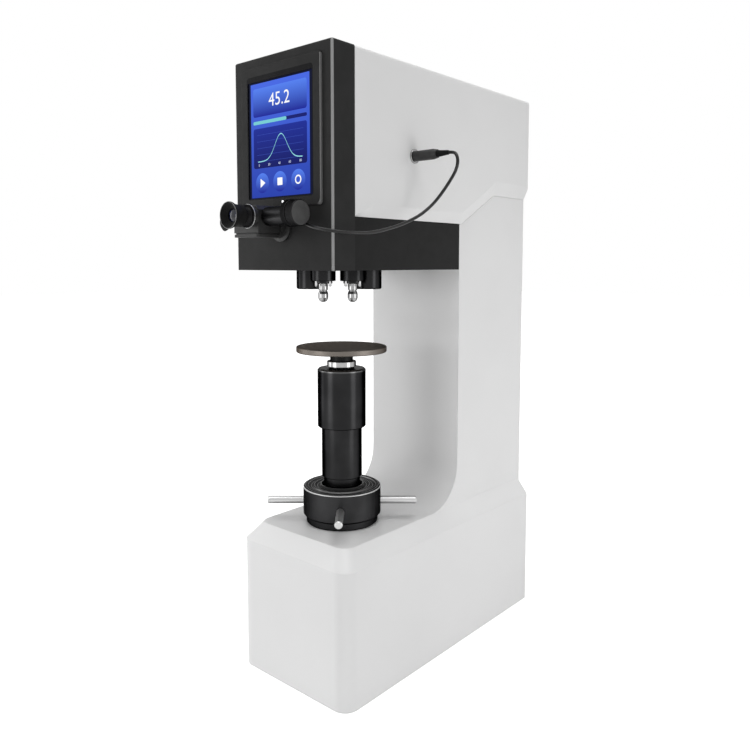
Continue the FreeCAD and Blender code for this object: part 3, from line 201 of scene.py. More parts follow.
class Finish(Nodes):
    """A material round one Principled shader, read in the part's own coordinates."""

    def __init__(self, name, colour, roughness, **constants):
        self.material = bpy.data.materials.new(name)
        self.material.use_nodes = True
        super().__init__(self.material.node_tree)
        self.places = self.node("ShaderNodeTexCoord").outputs["Object"]
        self.shader = self.node("ShaderNodeBsdfPrincipled")
        self.output = self.node("ShaderNodeOutputMaterial", Surface=self.shader.outputs[0])
        self.feed("Base Color", (*colour, 1.0))
        self.feed("Roughness", roughness)
        for socket, value in constants.items():
            self.feed(socket.replace("_", " "), value)

    def feed(self, socket, value):
        """Gives the Principled shader's socket a value or a link."""
        self.fill(self.shader.inputs[socket], value)

    def axes(self):
        """The three coordinates as values, in metres."""
        split = self.node("ShaderNodeSeparateXYZ", None, self.places)
        return [Value(self, out) for out in split.outputs]

    def axis_radius(self):
        """The distance from the spindle axis."""
        x, y, _ = self.axes()
        return (x * x + y * y).root()

    def stretched(self, scale):
        """The coordinates scaled by three factors, for grain that runs one way."""
        return self.node("ShaderNodeMapping", None, self.places, Scale=scale).outputs[0]

    def noise(self, scale, detail=3.0, places=None):
        """Fractal noise from 0 to 1 with about scale features a metre."""
        places = self.places if places is None else places
        made = self.node("ShaderNodeTexNoise", None, Vector=places, Scale=scale, Detail=detail)
        return Value(self, made.outputs[0])

    def blend(self, amount, first, second):
        """A colour from first, where amount is 0, to second, where it is 1."""
        made = self.node("ShaderNodeMix", {"data_type": "RGBA"}, amount)
        for place, colour in ((6, first), (7, second)):
            self.fill(made.inputs[place], (*colour, 1.0) if isinstance(colour, tuple) else colour)
        return made.outputs[2]

    def shade(self, colour, low, high, scale, detail=2.0):
        """A colour that noise takes between its low and high multiples."""
        dark = tuple(low * part for part in colour)
        light = tuple(min(1.0, high * part) for part in colour)
        return self.blend(self.noise(scale, detail).rise(0.3, 0.7), dark, light)

    def relief(self, height, distance, strength, edge=0.0):
        """Bumps the surface by a height from 0 to 1, over a distance in metres. An edge radius
        also rounds the normal where faces meet."""
        bump = self.node("ShaderNodeBump", None, Strength=strength, Distance=distance, Height=height)
        if edge > 0.0:
            rounded = self.node("ShaderNodeBevel", {"samples": 6}, Radius=edge)
            self.fill(bump.inputs["Normal"], rounded.outputs[0])
        self.feed("Normal", bump.outputs[0])

    def grain(self, lines, low, high, distance, strength, edge=0.0, detail=2.0):
        """Noise stretched into lines, as roughness from low to high and as slight relief."""
        grain = self.noise(1.0, detail, places=self.stretched(lines))
        self.feed("Roughness", grain.rise(0.2, 0.8, low, high))
        self.relief(grain, distance, strength, edge)
        return grain


# Surfaces


def grid_faces(rows, columns):
    """Quads between neighbouring points of a grid whose last column joins its first."""
    row = np.arange(rows - 1)[:, None] * columns
    column = np.arange(columns)
    beside = (column + 1) % columns
    corners = [row + column, row + beside, row + columns + beside, row + columns + column]
    return np.stack(corners, -1).reshape(-1, 4)


def put_mesh(name, points, faces, finish, body, smooth=35.0):
    """Makes a piece from points and faces: doubles are merged, faces turned outwards, edges over
    the smooth angle kept sharp, then it gets its finish and rides on its body."""
    mesh = bpy.data.meshes.new(name)
    mesh.from_pydata(np.asarray(points).reshape(-1, 3).tolist(), [], np.asarray(faces).tolist())
    work = bmesh.new()
    work.from_mesh(mesh)
    bmesh.ops.remove_doubles(work, verts=work.verts, dist=1e-7)
    bmesh.ops.recalc_face_normals(work, faces=work.faces)
    work.to_mesh(mesh)
    work.free()
    mesh.shade_smooth()
    mesh.set_sharp_from_angle(angle=math.radians(smooth))
    mesh.materials.append(finish)
    piece = bpy.data.objects.new(name, mesh)
    bpy.context.scene.collection.objects.link(piece)
    if body:
        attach(piece, body)
    return piece


def rounded_outline(x0, z0, x1, z1, corner, steps=5):
    """Corner points of a rounded rectangle: each corner's centre plus the corner radius times
    the cosine and sine of an angle that runs through that corner's quarter turn."""
    quarter = np.linspace(0, np.pi / 2, steps)
    angle = (np.arange(4)[:, None] * np.pi / 2 + quarter).ravel()
    side = np.repeat([[1, 1], [-1, 1], [-1, -1], [1, -1]], steps, axis=0)
    middle = np.array((x0 + x1, z0 + z1)) / 2
    half = np.array((x1 - x0, z1 - z0)) / 2
    return middle + side * (half - corner) + corner * np.c_[np.cos(angle), np.sin(angle)]


def disc_outline(x, z, radius, steps):
    """Points round x, z: the radius times the cosine and sine of an evenly growing angle."""
    angle = np.linspace(0, 2 * np.pi, steps, endpoint=False)
    return np.c_[x + radius * np.cos(angle), z + radius * np.sin(angle)]


def curve_mesh(curve):
    """The points and faces of the mesh that a curve or a text gives."""
    holder = bpy.data.objects.new(curve.name, curve)
    bpy.context.scene.collection.objects.link(holder)
    bpy.context.view_layer.update()
    mesh = bpy.data.meshes.new_from_object(holder)
    points = np.empty(len(mesh.vertices) * 3)
    mesh.vertices.foreach_get("co", points)
    faces = [tuple(face.vertices) for face in mesh.polygons]
    bpy.data.objects.remove(holder)
    return points.reshape(-1, 3), faces


def turned(profile, centre, axis, across, steps, wave=None):
    """A surface of revolution. The point of profile row i and angle a is the centre, plus the
    row's distance along the axis, plus its radius times (cos a of across, sin a of the third
    direction). A wave, given (row, angle), adds to the radius."""
    along, radius = profile.T[:, :, None]
    angle = np.linspace(0, 2 * np.pi, steps, endpoint=False)
    if wave is not None:
        radius = radius + wave(np.arange(len(profile))[:, None], angle)
    third = np.cross(axis, across)
    ring = np.cos(angle)[..., None] * across + np.sin(angle)[..., None] * third
    points = centre + along[..., None] * axis + radius[..., None] * ring
    return points, grid_faces(len(profile), steps)


def tube_along(path, radius, reference, steps):
    """A tube round a path. At each path point the circle's directions are the reference crossed
    with the tangent, and the tangent crossed with that."""
    tangent = np.gradient(path, axis=0)
    tangent /= np.linalg.norm(tangent, axis=1)[:, None]
    first = np.cross(reference, tangent)
    first /= np.linalg.norm(first, axis=1)[:, None]
    second = np.cross(tangent, first)
    angle = np.linspace(0, 2 * np.pi, steps, endpoint=False)[None, :, None]
    ring = np.cos(angle) * first[:, None] + np.sin(angle) * second[:, None]
    return path[:, None] + radius * ring, grid_faces(len(path), steps)


def spline_path(route):
    """The points of a smooth NURBS spline whose control points are the route's."""
    curve = bpy.data.curves.new("lead_line", "CURVE")
    curve.dimensions = "3D"
    curve.resolution_u = 16
    spline = curve.splines.new("NURBS")
    spline.points.add(len(route) - 1)
    spline.points.foreach_set("co", np.c_[route, np.ones(len(route))].ravel())
    spline.order_u = 3
    spline.use_endpoint_u = True
    return curve_mesh(curve)[0]


def turned_piece(name, profile, centre, axis, finish, body, slot, node=None, steps=96, wave=None):
    """Puts a turned piece whose profile is in millimetres, and hides the node it stands for."""
    across = X if abs(axis[0]) < 0.5 else Y
    points, faces = turned(MM * np.array(profile), centre, axis, across, steps, wave)
    piece = put_mesh(name, points, faces, FINISHES[finish], body)
    if node:
        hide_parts(node)


# Finishes


def painted_panel(colour):
    """Satin enamel: a fine orange peel, soft edges, a slow drift of shade and roughness."""
    finish = Finish("painted_panel", colour, 0.42, Specular_IOR_Level=0.4)
    finish.feed("Base Color", finish.shade(colour, 0.985, 1.01, 7.0))
    finish.feed("Roughness", finish.noise(60.0).rise(0.2, 0.8, 0.36, 0.46))
    finish.relief(finish.noise(420.0, 2.0), 0.0001, 0.3, edge=0.0025)
    return finish.material


def corner_reach(aside, along, corner):
    """How far a point lies outside a rounded corner: the length of its two distances past the
    corner's centre, less the corner radius."""
    aside, along = aside.most(0.0), along.most(0.0)
    return (aside * aside + along * along).root() - corner


def textured_cover(name, colour, edge=None, seam_shadow=None, recess_shade=None, rim=None):
    """Fine textured dark moulding, carrying some painted light and shade. A lighter edge colour
    on the two front vertical edges is a painted highlight of light caught on the rounded
    corners. A near-black strip where the moulding ends at a place along Y is a painted shadow
    in its joint with the cover. A black ring round the screen's window is painted shade,
    standing for the window's recess wall in shadow. The surround's right rim carries a light
    line that ends round its lower corner, a painted highlight of light caught on that edge."""
    finish = Finish(name, colour, 0.5, Specular_IOR_Level=0.07)
    skin = finish.shade(colour, 0.92, 1.08, 40.0)
    x, y, z = finish.axes()
    # Painted highlight: a lighter colour on the two front vertical edges, standing for light caught on the
    # rounded corners.
    if edge is not None:
        side = abs(x).rise(*COVER_SIDE)
        front = (0 - y).rise(*COVER_FRONT)
        skin = finish.blend(side * front, skin, edge)
    # Painted shadow: near-black where the moulding ends along Y, standing for the shade in its joint with
    # the cover.
    if seam_shadow is not None:
        skin = finish.blend(y.rise(seam_shadow, seam_shadow + 0.0004), grey(0.001), skin)
    # Painted shade: a near-black rounded ring round the screen's window, standing for the window's recess
    # wall in shadow.
    if recess_shade is not None:
        (x0, z0), (x1, z1) = recess_shade
        aside = abs(x - (x0 + x1) / 2) - (x1 - x0) / 2 + WINDOW_CORNER
        above = abs(z - (z0 + z1) / 2) - (z1 - z0) / 2 + WINDOW_CORNER
        outside = corner_reach(aside, above, WINDOW_CORNER)
        skin = finish.blend(outside.rise(0.0, 0.0003), (0.0008, 0.0008, 0.0015), skin)
    # Painted highlight: a light line along the surround's right rim, ending round its lower corner,
    # standing for light caught on that raised edge.
    if rim is not None:
        (_, z0), (x1, _) = rim
        aside = x - (x1 - COVER_CORNER)
        reach = corner_reach(aside, z0 + COVER_CORNER - z, COVER_CORNER)
        line = reach.rise(-0.0013, -0.0009) * aside.rise(0.002, 0.008)
        skin = finish.blend(line, skin, grey(0.2))
    finish.feed("Base Color", skin)
    finish.feed("Roughness", finish.noise(90.0).rise(0.2, 0.8, 0.44, 0.54))
    finish.relief(finish.noise(1500.0, 2.0), 0.00008, 0.5)
    return finish.material


def oxide(name, roughness, shine):
    """Starts a black oxide finish, and gives it with the even colour of its skin."""
    colour = (shine, shine, 1.03 * shine)
    finish = Finish(name, colour, roughness, Metallic=1.0, Specular_Tint=(*grey(0.2), 1.0))
    return finish, finish.shade(colour, 0.85, 1.2, 30.0)


def blackened_metal(name, roughness, shine, lines=FINE_LINES, wear_and_highlight=None):
    """Black oxide over turned metal: it mirrors a little of the room evenly, edges included.
    Between two heights and above it may turn a paler grey, a painted highlight on the shoulder."""
    finish, skin = oxide(name, roughness, shine)
    if wear_and_highlight is not None:
        # Painted highlight: a paler grey on the upper shoulder, standing for light caught there.
        skin = finish.blend(finish.axes()[2].rise(*wear_and_highlight), skin, grey(0.17))
    finish.feed("Base Color", skin)
    finish.grain(lines, roughness * 0.95, roughness * 1.1, 0.00001, 0.15, edge=0.0006)
    return finish.material


def hub_oxide(shine, top):
    """Black oxide whose upper face is paler, with bright rings round the spindle axis. The face is turned
    with rings, and its paler grey and bright rings are painted sheen, standing for light reflected off the
    top.
    """
    finish, side = oxide("hub_black", 0.42, shine)
    radius = finish.axis_radius()
    rings = (radius * 1570.0).sine().rise(0.6, 0.95)
    # Painted sheen: the top face and its rings are paler than the sides, standing for light reflected off
    # the top.
    face = finish.blend(rings, grey(0.11), grey(0.26))
    skin = finish.blend(finish.axes()[2].rise(top - 0.0019, top - 0.0017), side, face)
    finish.feed("Base Color", finish.blend(radius.rise(*HUB_FACE), skin, side))
    finish.grain(FINE_LINES, 0.38, 0.46, 0.00001, 0.15, edge=0.0006)
    return finish.material


def turned_metal(name, colour, roughness, lines=(300, 300, 2600), tint=1.0):
    """Bare metal whose fine lines run round or across, with a slight drift of tone. A tint under
    1 darkens it where it is seen edge on."""
    finish = Finish(name, colour, roughness, Metallic=1.0, Specular_Tint=(*grey(tint), 1.0))
    grain = finish.grain(lines, roughness * 0.75, roughness * 1.3, 0.00002, 0.35, detail=3.0)
    dark = tuple(0.82 * part for part in colour)
    finish.feed("Base Color", finish.blend(grain.rise(0.25, 0.75), dark, colour))
    return finish.material


def ground_plate(colour):
    """Dark ground steel with lines round the spindle axis, fine specks and a black stem."""
    finish = Finish("ground_plate", colour, 0.42, Metallic=1.0, Specular_Tint=(0.25, 0.24, 0.23, 1.0))
    z = finish.axes()[2]
    radius = finish.axis_radius()
    lines = (radius * 3600.0).sine() * 0.5 + 0.5
    speck = finish.noise(900.0, 3.0)
    dark = tuple(0.6 * part for part in colour)
    light = tuple(1.4 * part for part in colour)
    rings = (radius * 640.0).sine() * 0.5 + 0.5
    face = finish.blend(lines * 0.2 + rings * 0.5 + speck * 0.3, dark, light)
    stem = radius.rise(*PLATE_FACE).most(z.rise(PLATE_TOP - 0.002, PLATE_TOP - 0.0015))
    finish.feed("Base Color", finish.blend(stem, grey(0.012), face))
    finish.feed("Roughness", speck.rise(0.2, 0.8, 0.36, 0.5))
    finish.relief(lines * 0.7 + speck * 0.3, 0.00004, 0.5)
    return finish.material


def moulded_plastic(name, colour, roughness=0.45, scale=1100.0):
    """Spark-eroded moulding texture."""
    finish = Finish(name, colour, roughness, Specular_IOR_Level=0.3)
    finish.feed("Base Color", finish.shade(colour, 0.85, 1.15, 60.0))
    finish.feed("Roughness", finish.noise(scale * 0.2).rise(0.2, 0.8, roughness * 0.9, roughness * 1.15))
    finish.relief(finish.noise(scale, 2.0), 0.00006, 0.5, edge=0.0005)
    return finish.material


def soft_rubber(name, tone, shine, roughness=0.6):
    """Matt black rubber with a dusty bloom."""
    finish = Finish(name, grey(tone), roughness, Specular_IOR_Level=shine)
    finish.feed("Base Color", finish.shade(grey(tone), 0.8, 1.7, 55.0, 4.0))
    finish.feed("Roughness", finish.noise(200.0).rise(0.2, 0.8, 0.9 * roughness, 1.2 * roughness))
    finish.relief(finish.noise(1700.0, 2.0), 0.00005, 0.4)
    return finish.material


def coated_glass():
    """A dark coated lens whose tone drifts between black and a deep blue."""
    coat = {"Coat_Weight": 0.3, "Coat_Roughness": 0.03}
    finish = Finish("coated_glass", (0.01, 0.012, 0.03), 0.06, Specular_IOR_Level=0.3, **coat)
    tone = finish.noise(110.0, 1.0).rise(0.3, 0.7)
    finish.feed("Base Color", finish.blend(tone, (0.004, 0.005, 0.012), (0.02, 0.022, 0.07)))
    return finish.material


def black_glass():
    """The touch glass's black margin: smooth, with a faint smear in its roughness."""
    finish = Finish("black_glass", (0.004, 0.005, 0.008), 0.06, Specular_IOR_Level=0.5)
    finish.feed("Base Color", finish.shade((0.004, 0.005, 0.009), 0.8, 1.3, 12.0))
    finish.feed("Roughness", finish.noise(35.0, 4.0).rise(0.3, 0.8, 0.05, 0.11))
    return finish.material


def lit_picture(glow):
    """The lit screen: the mesh's own tints shine, under a clear front."""
    lit = {"Specular_IOR_Level": 0.05, "Emission_Strength": glow}
    finish = Finish("lit_picture", (0.002, 0.002, 0.004), 0.1, **lit)
    tint = finish.node("ShaderNodeAttribute", {"attribute_name": "tint"}).outputs["Color"]
    haze = finish.noise(9.0, 1.0).rise(0.2, 0.8, 0.0, 0.008)
    finish.feed("Emission Color", finish.blend(haze, tint, (0.2, 0.3, 0.6)))
    return finish.material


def painted_mark():
    """White marking ink, slightly rubbed away in places."""
    finish = Finish("marking_ink", grey(0.7), 0.5)
    wear_and_highlight = finish.noise(2500.0, 3.0).rise(0.35, 0.6)
    finish.feed("Base Color", finish.blend(wear_and_highlight, grey(0.5), grey(0.78)))
    return finish.material


def lamp_lens():
    """A small lit lamp behind a clear dome, with a slight drift in its glow."""
    finish = Finish("lamp_lens", grey(0.8), 0.12, Coat_Weight=1.0, Emission_Strength=1.0)
    glow = finish.noise(700.0, 1.0).rise(0.2, 0.8)
    finish.feed("Emission Color", finish.blend(glow, (0.75, 0.78, 0.8), WHITE))
    return finish.material


def circuit_board():
    """Green solder mask with darker tracks and bright pads."""
    finish = Finish("circuit_board", (0.01, 0.07, 0.025), 0.35, Specular_IOR_Level=0.5)
    tracks = finish.noise(260.0, 2.0).rise(0.48, 0.54)
    pads = finish.noise(520.0, 1.0).rise(0.68, 0.7)
    mask = finish.blend(tracks, (0.008, 0.05, 0.018), (0.015, 0.1, 0.04))
    finish.feed("Base Color", finish.blend(pads, mask, (0.5, 0.42, 0.2)))
    finish.relief(tracks, 0.00005, 0.5)
    return finish.material


# Sizes and colours that a user would change


class StudioSettings(bpy.types.PropertyGroup):
    eye: FloatVectorProperty(
        name="Camera place", description="Where the camera stands", subtype="TRANSLATION",
        unit="LENGTH", default=(0.67143, -0.70016, 0.53933),
    )
    heading: FloatProperty(
        name="Heading", description="How far the camera turns from +Y towards -X", subtype="ANGLE",
        unit="ROTATION", default=math.radians(41.1725),
    )
    dip: FloatProperty(
        name="Dip", description="How far the camera looks down", subtype="ANGLE",
        unit="ROTATION", default=math.radians(4.8312),
    )
    lens: FloatProperty(name="Lens", description="Focal length on the sensor", default=35.227, min=10.0)
    shift: FloatProperty(name="Shift", description="Vertical shift, share of the frame", default=-0.0654)
    fill: FloatProperty(
        name="Room light", description="Strength of the light from all round", default=0.27, min=0.0
    )
    front: FloatProperty(
        name="Front light", description="Power of the front light", default=6.3, min=0.0, unit="POWER"
    )
    right: FloatProperty(
        name="Right light", description="Power of the right light", default=3.0, min=0.0, unit="POWER"
    )
    left: FloatProperty(
        name="Left light", description="Power of the left light", default=5.6, min=0.0, unit="POWER"
    )
    overhead: FloatProperty(
        name="Overhead light", description="Power of the light above", default=150.0, min=0.0, unit="POWER"
    )


class FinishSettings(bpy.types.PropertyGroup):
    paint: FloatVectorProperty(
        name="Paint", description="Colour of the painted panels", subtype="COLOR", default=(0.8, 0.8, 0.8)
    )
    cover: FloatVectorProperty(
        name="Cover", description="Colour of the front cover", subtype="COLOR",
        default=(0.0215, 0.0215, 0.0215),
    )
    skirt: FloatVectorProperty(
        name="Skirt", description="Colour of the skirt", subtype="COLOR", default=(0.0145, 0.0145, 0.0145)
    )
    # The cover's edge colour is a painted highlight, standing for light caught on its rounded front
    # corners.
    edge: FloatVectorProperty(
        name="Cover edge", description="Colour of the cover's bright vertical edges", subtype="COLOR",
        default=(0.33, 0.33, 0.33),
    )
    plate: FloatVectorProperty(
        name="Anvil", description="Colour of its plate", subtype="COLOR", default=(0.11, 0.098, 0.088)
    )


class LeadSettings(bpy.types.PropertyGroup):
    diameter: FloatProperty(
        name="Diameter", description="Diameter of the lead", default=0.004, min=0.001, unit="LENGTH"
    )
    steps: IntProperty(name="Steps", description="Points round the lead", default=20, min=8)


class EyepieceSettings(bpy.types.PropertyGroup):
    flutes: IntProperty(name="Flutes", description="Flutes round sleeve and knob", default=72, min=12)
    flute_depth: FloatProperty(
        name="Flute depth", description="Depth of each flute", default=0.0003, min=0.0, unit="LENGTH"
    )
    neck: FloatProperty(
        name="Neck", description="How far the neck runs on before the sleeve", default=0.009, unit="LENGTH"
    )
    wing: FloatProperty(
        name="Wing", description="How far the eyecup's side wing stands out", default=0.0056, unit="LENGTH"
    )
    wing_side: FloatProperty(
        name="Wing side", description="Direction of the wing", subtype="ANGLE", unit="ROTATION",
        default=math.radians(-136),
    )


class ScreenSettings(bpy.types.PropertyGroup):
    reading: StringProperty(name="Reading", description="The number in the upper tile", default="45.2")
    glow: FloatProperty(name="Glow", description="Brightness of the picture", default=1.0, min=0.0)


# Operators


class StageOperator(bpy.types.Operator):
    """Set up the camera, the floor and the soft studio light."""

    bl_idname = "tester.stage"
    bl_label = "Stage"

    def execute(self, context):
        studio = context.scene.tester_studio
        lens = bpy.data.cameras.new("camera")
        lens.lens = studio.lens
        lens.sensor_width = SENSOR_WIDTH
        lens.shift_y = studio.shift
        lens.clip_start = 0.02
        camera = bpy.data.objects.new("camera", lens)
        camera.location = studio.eye
        camera.rotation_euler = (math.pi / 2 - studio.dip, 0, studio.heading)
        context.scene.collection.objects.link(camera)
        context.scene.camera = camera
        context.scene.view_settings.view_transform = "Standard"

        corners = ((-1, -1), (1, -1), (1, 1), (-1, 1))
        points = [(FLOOR_REACH * x, FLOOR_REACH * y, -FLOOR_DROP) for x, y in corners]
        floor = put_mesh("floor", points, [(0, 1, 2, 3)], self.floor_finish(), None)
        self.light_room(context.scene, studio.fill)
        for name, place, size, power in (
            ("strip_front", (-0.344, -1.614, 0.345), (0.63, 0.93), studio.front),
            ("strip_right", (1.083, 0.191, 0.4), (0.42, 0.7), studio.right),
            ("strip_left", (-1.3, -0.75, 0.7), (0.35, 1.5), studio.left),
            ("overhead", (0.4, -0.5, 5.0), (3.6, 3.6), studio.overhead),
        ):
            self.add_lamp(context.scene, name, place, size, power)
        return {"FINISHED"}

    def floor_finish(self):
        """Pale floor that looks white to the camera and to reflections but keeps shadows near by."""
        finish = Finish("floor", grey(0.85), 0.9, Specular_IOR_Level=0.0)
        finish.feed("Base Color", finish.shade(grey(0.85), 0.99, 1.01, 3.0))
        away = finish.axis_radius().rise(0.45, 1.5)
        colour = finish.blend(away, grey(0.6), WHITE)
        glow = finish.node("ShaderNodeEmission", None, colour, finish.seen_white())
        both = finish.node("ShaderNodeAddShader", None, finish.shader.outputs[0], glow.outputs[0])
        finish.fill(finish.output.inputs["Surface"], both.outputs[0])
        return finish.material

    def light_room(self, scene, fill):
        """A room that lights evenly from all round and shows white to the camera and to gloss."""
        world = bpy.data.worlds.new("room")
        world.use_nodes = True
        scene.world = world
        room = Nodes(world.node_tree)
        strength = room.seen_white() * (1.0 - fill) + fill
        shine = room.node("ShaderNodeBackground", None, (*WHITE, 1.0), strength)
        room.node("ShaderNodeOutputWorld", Surface=shine.outputs[0])

    def add_lamp(self, scene, name, place, size, power):
        """A soft rectangular light that faces the middle of the machine."""
        lamp = bpy.data.lights.new(name, "AREA")
        lamp.shape = "RECTANGLE"
        lamp.size, lamp.size_y = size
        lamp.energy = power
        holder = bpy.data.objects.new(name, lamp)
        scene.collection.objects.link(holder)
        holder.location = place
        holder.visible_camera = False
        towards = np.array(LIGHTS_AIM) - place
        heading = math.atan2(-towards[0], towards[1])
        raised = math.atan2(-towards[2], math.hypot(*towards[:2]))
        holder.rotation_euler = (math.pi / 2 - raised, 0, heading)


class LeadOperator(bpy.types.Operator):
    """Lay the eyepiece lead from its gland round to the plug in the head's side."""

    bl_idname = "tester.lead"
    bl_label = "Lead"

    def execute(self, context):
        lead = context.scene.tester_lead
        route = MM * np.array(
            [
                (50, -116, 588), (69, -124.9, 581.9), (91, -120.9, 577.1), (108, -100, 573.7),
                (114.5, -68, 574.5), (114, -35.1, 581), (113, -7, 588), (115, 20, 598.5),
                (121.5, 39, 613.5), (132, 46, 630), (144, 44, 642.5), (153, 41.2, 652),
                (156.3, 40.8, 661.8), (153.6, 42.2, 670.2), (147.2, 45.2, 675), (139.4, 45.2, 675.3),
            ]
        )
        path = spline_path(route)
        points, faces = tube_along(path, lead.diameter / 2, (1, 1, -1), lead.steps)
        piece = put_mesh("eyepiece_lead_tube", points, faces, FINISHES["lead"], None, 60.0)
        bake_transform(piece)
        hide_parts("eyepiece_lead")
        return {"FINISHED"}


class ScreenOperator(bpy.types.Operator):
    """Draw a plain picture behind the touch glass: a reading, a level bar, a curve and three keys."""

    bl_idname = "tester.screen"
    bl_label = "Screen picture"

    def execute(self, context):
        self.shapes = []
        self.backdrop()
        self.tiles()
        self.signs()
        self.numbers(context.scene.tester_screen.reading)
        points, faces, tints = [], [], []
        start = 0
        for outline, layer, low, high, own_faces in self.shapes:
            across, up = outline.T * MM
            share = (up - up.min()) / np.ptp(up)
            depth = np.full(len(up), GLASS_FRONT - LAYER_GAP * (layer + 1))
            points.append(np.c_[across, depth, up])
            tints.append(np.outer(1 - share, (*low, 1)) + np.outer(share, (*high, 1)))
            own_faces = own_faces or [tuple(range(len(up)))]
            faces += [tuple(start + corner for corner in face)[::-1] for face in own_faces]
            start += len(up)
        mesh = bpy.data.meshes.new("screen_picture")
        mesh.from_pydata(np.concatenate(points).tolist(), [], faces)
        layer = mesh.attributes.new("tint", "FLOAT_COLOR", "POINT")
        layer.data.foreach_set("color", np.concatenate(tints).ravel())
        mesh.materials.append(FINISHES["picture"])
        self.face_forward(mesh)
        piece = bpy.data.objects.new("screen_picture", mesh)
        context.scene.collection.objects.link(piece)
        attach(piece, "frame")
        return {"FINISHED"}

    def face_forward(self, mesh):
        """Turns the faces whose normal points into the machine."""
        work = bmesh.new()
        work.from_mesh(mesh)
        work.normal_update()
        bmesh.ops.reverse_faces(work, faces=[face for face in work.faces if face.normal.y > 0])
        work.to_mesh(mesh)
        work.free()

    def add(self, outline, layer, low, high=None, faces=None):
        """Keeps a flat shape in millimetres, tinted from low at its foot to high at its head. Both
        are display levels."""
        tints = display_colour(low), display_colour(high or low)
        self.shapes.append((outline, layer, *tints, faces))

    def backdrop(self):
        """The picture's ground, a little brighter towards the head."""
        self.add(rounded_outline(-55.8, 618.6, 55.8, 760.3, 1.0), 0, (2, 8, 40))
        ground = rounded_outline(-52.5, 620.5, 51.6, 757.9, 0.8)
        self.add(ground, 1, (36, 62, 170), (70, 104, 228))

    def tiles(self):
        """One wide tile for the reading, one for the curve, and a row of three round keys."""
        foot, head = (22, 34, 150), (84, 128, 240)
        self.add(rounded_outline(-48.0, 718.0, 47.0, 752.0, 3.0), 2, foot, head)
        self.add(rounded_outline(-48.0, 656.0, 47.0, 704.0, 3.0), 2, (12, 20, 96), (26, 44, 150))
        for x in (-32.5, -0.5, 31.5):
            self.add(disc_outline(x, 638.0, 12.0, 40), 2, foot, head)

    def signs(self):
        """A level bar, a grid with a curve whose height is a bell of the way across, and a plain
        shape on each key."""
        self.add(rounded_outline(-48.0, 709.0, 47.0, 713.0, 1.6), 2, (16, 26, 110))
        self.add(rounded_outline(-48.0, 709.0, 12.0, 713.0, 1.6), 3, (120, 205, 210))
        for z in (664.0, 672.0, 680.0, 688.0, 696.0):
            self.add(rounded_outline(-42.0, z, 41.0, z + 0.3, 0.1), 3, (60, 86, 190))
        count = 60
        across = np.linspace(-40.0, 39.0, count)
        height = 664.0 + 30.0 * np.exp(-(((across - 2.0) / 15.0) ** 2))
        curve = np.r_[np.c_[across, height + 0.6], np.c_[across, height - 0.6][::-1]]
        strip = [(k, k + 1, 2 * count - 2 - k, 2 * count - 1 - k) for k in range(count - 1)]
        self.add(curve, 4, (150, 225, 230), faces=strip)
        self.add(np.array([(-36.0, 632.5), (-27.0, 638.0), (-36.0, 643.5)]), 3, FULL)
        self.add(rounded_outline(-5.0, 633.5, 4.0, 642.5, 1.0), 3, FULL)
        self.add(disc_outline(31.5, 638.0, 5.4, 32), 3, FULL)
        self.add(disc_outline(31.5, 638.0, 3.6, 32), 4, (54, 84, 200))

    def numbers(self, reading):
        """The plain numbers of the picture."""
        self.add_text(reading, 22.0, -0.5, 735.0, FULL)
        for place, body in enumerate(("0", "20", "40", "60", "80")):
            self.add_text(body, 4.2, -38.0 + 18.5 * place, 659.6, (214, 226, 252))

    def add_text(self, body, size, x, z, levels):
        """Keeps a short text centred at x, z."""
        curve = bpy.data.curves.new("text", "FONT")
        curve.body = body
        curve.size = size
        curve.align_x = curve.align_y = "CENTER"
        curve.resolution_u = 3
        points, faces = curve_mesh(curve)
        self.add(points[:, :2] + (x, z), 4, levels, faces=faces)


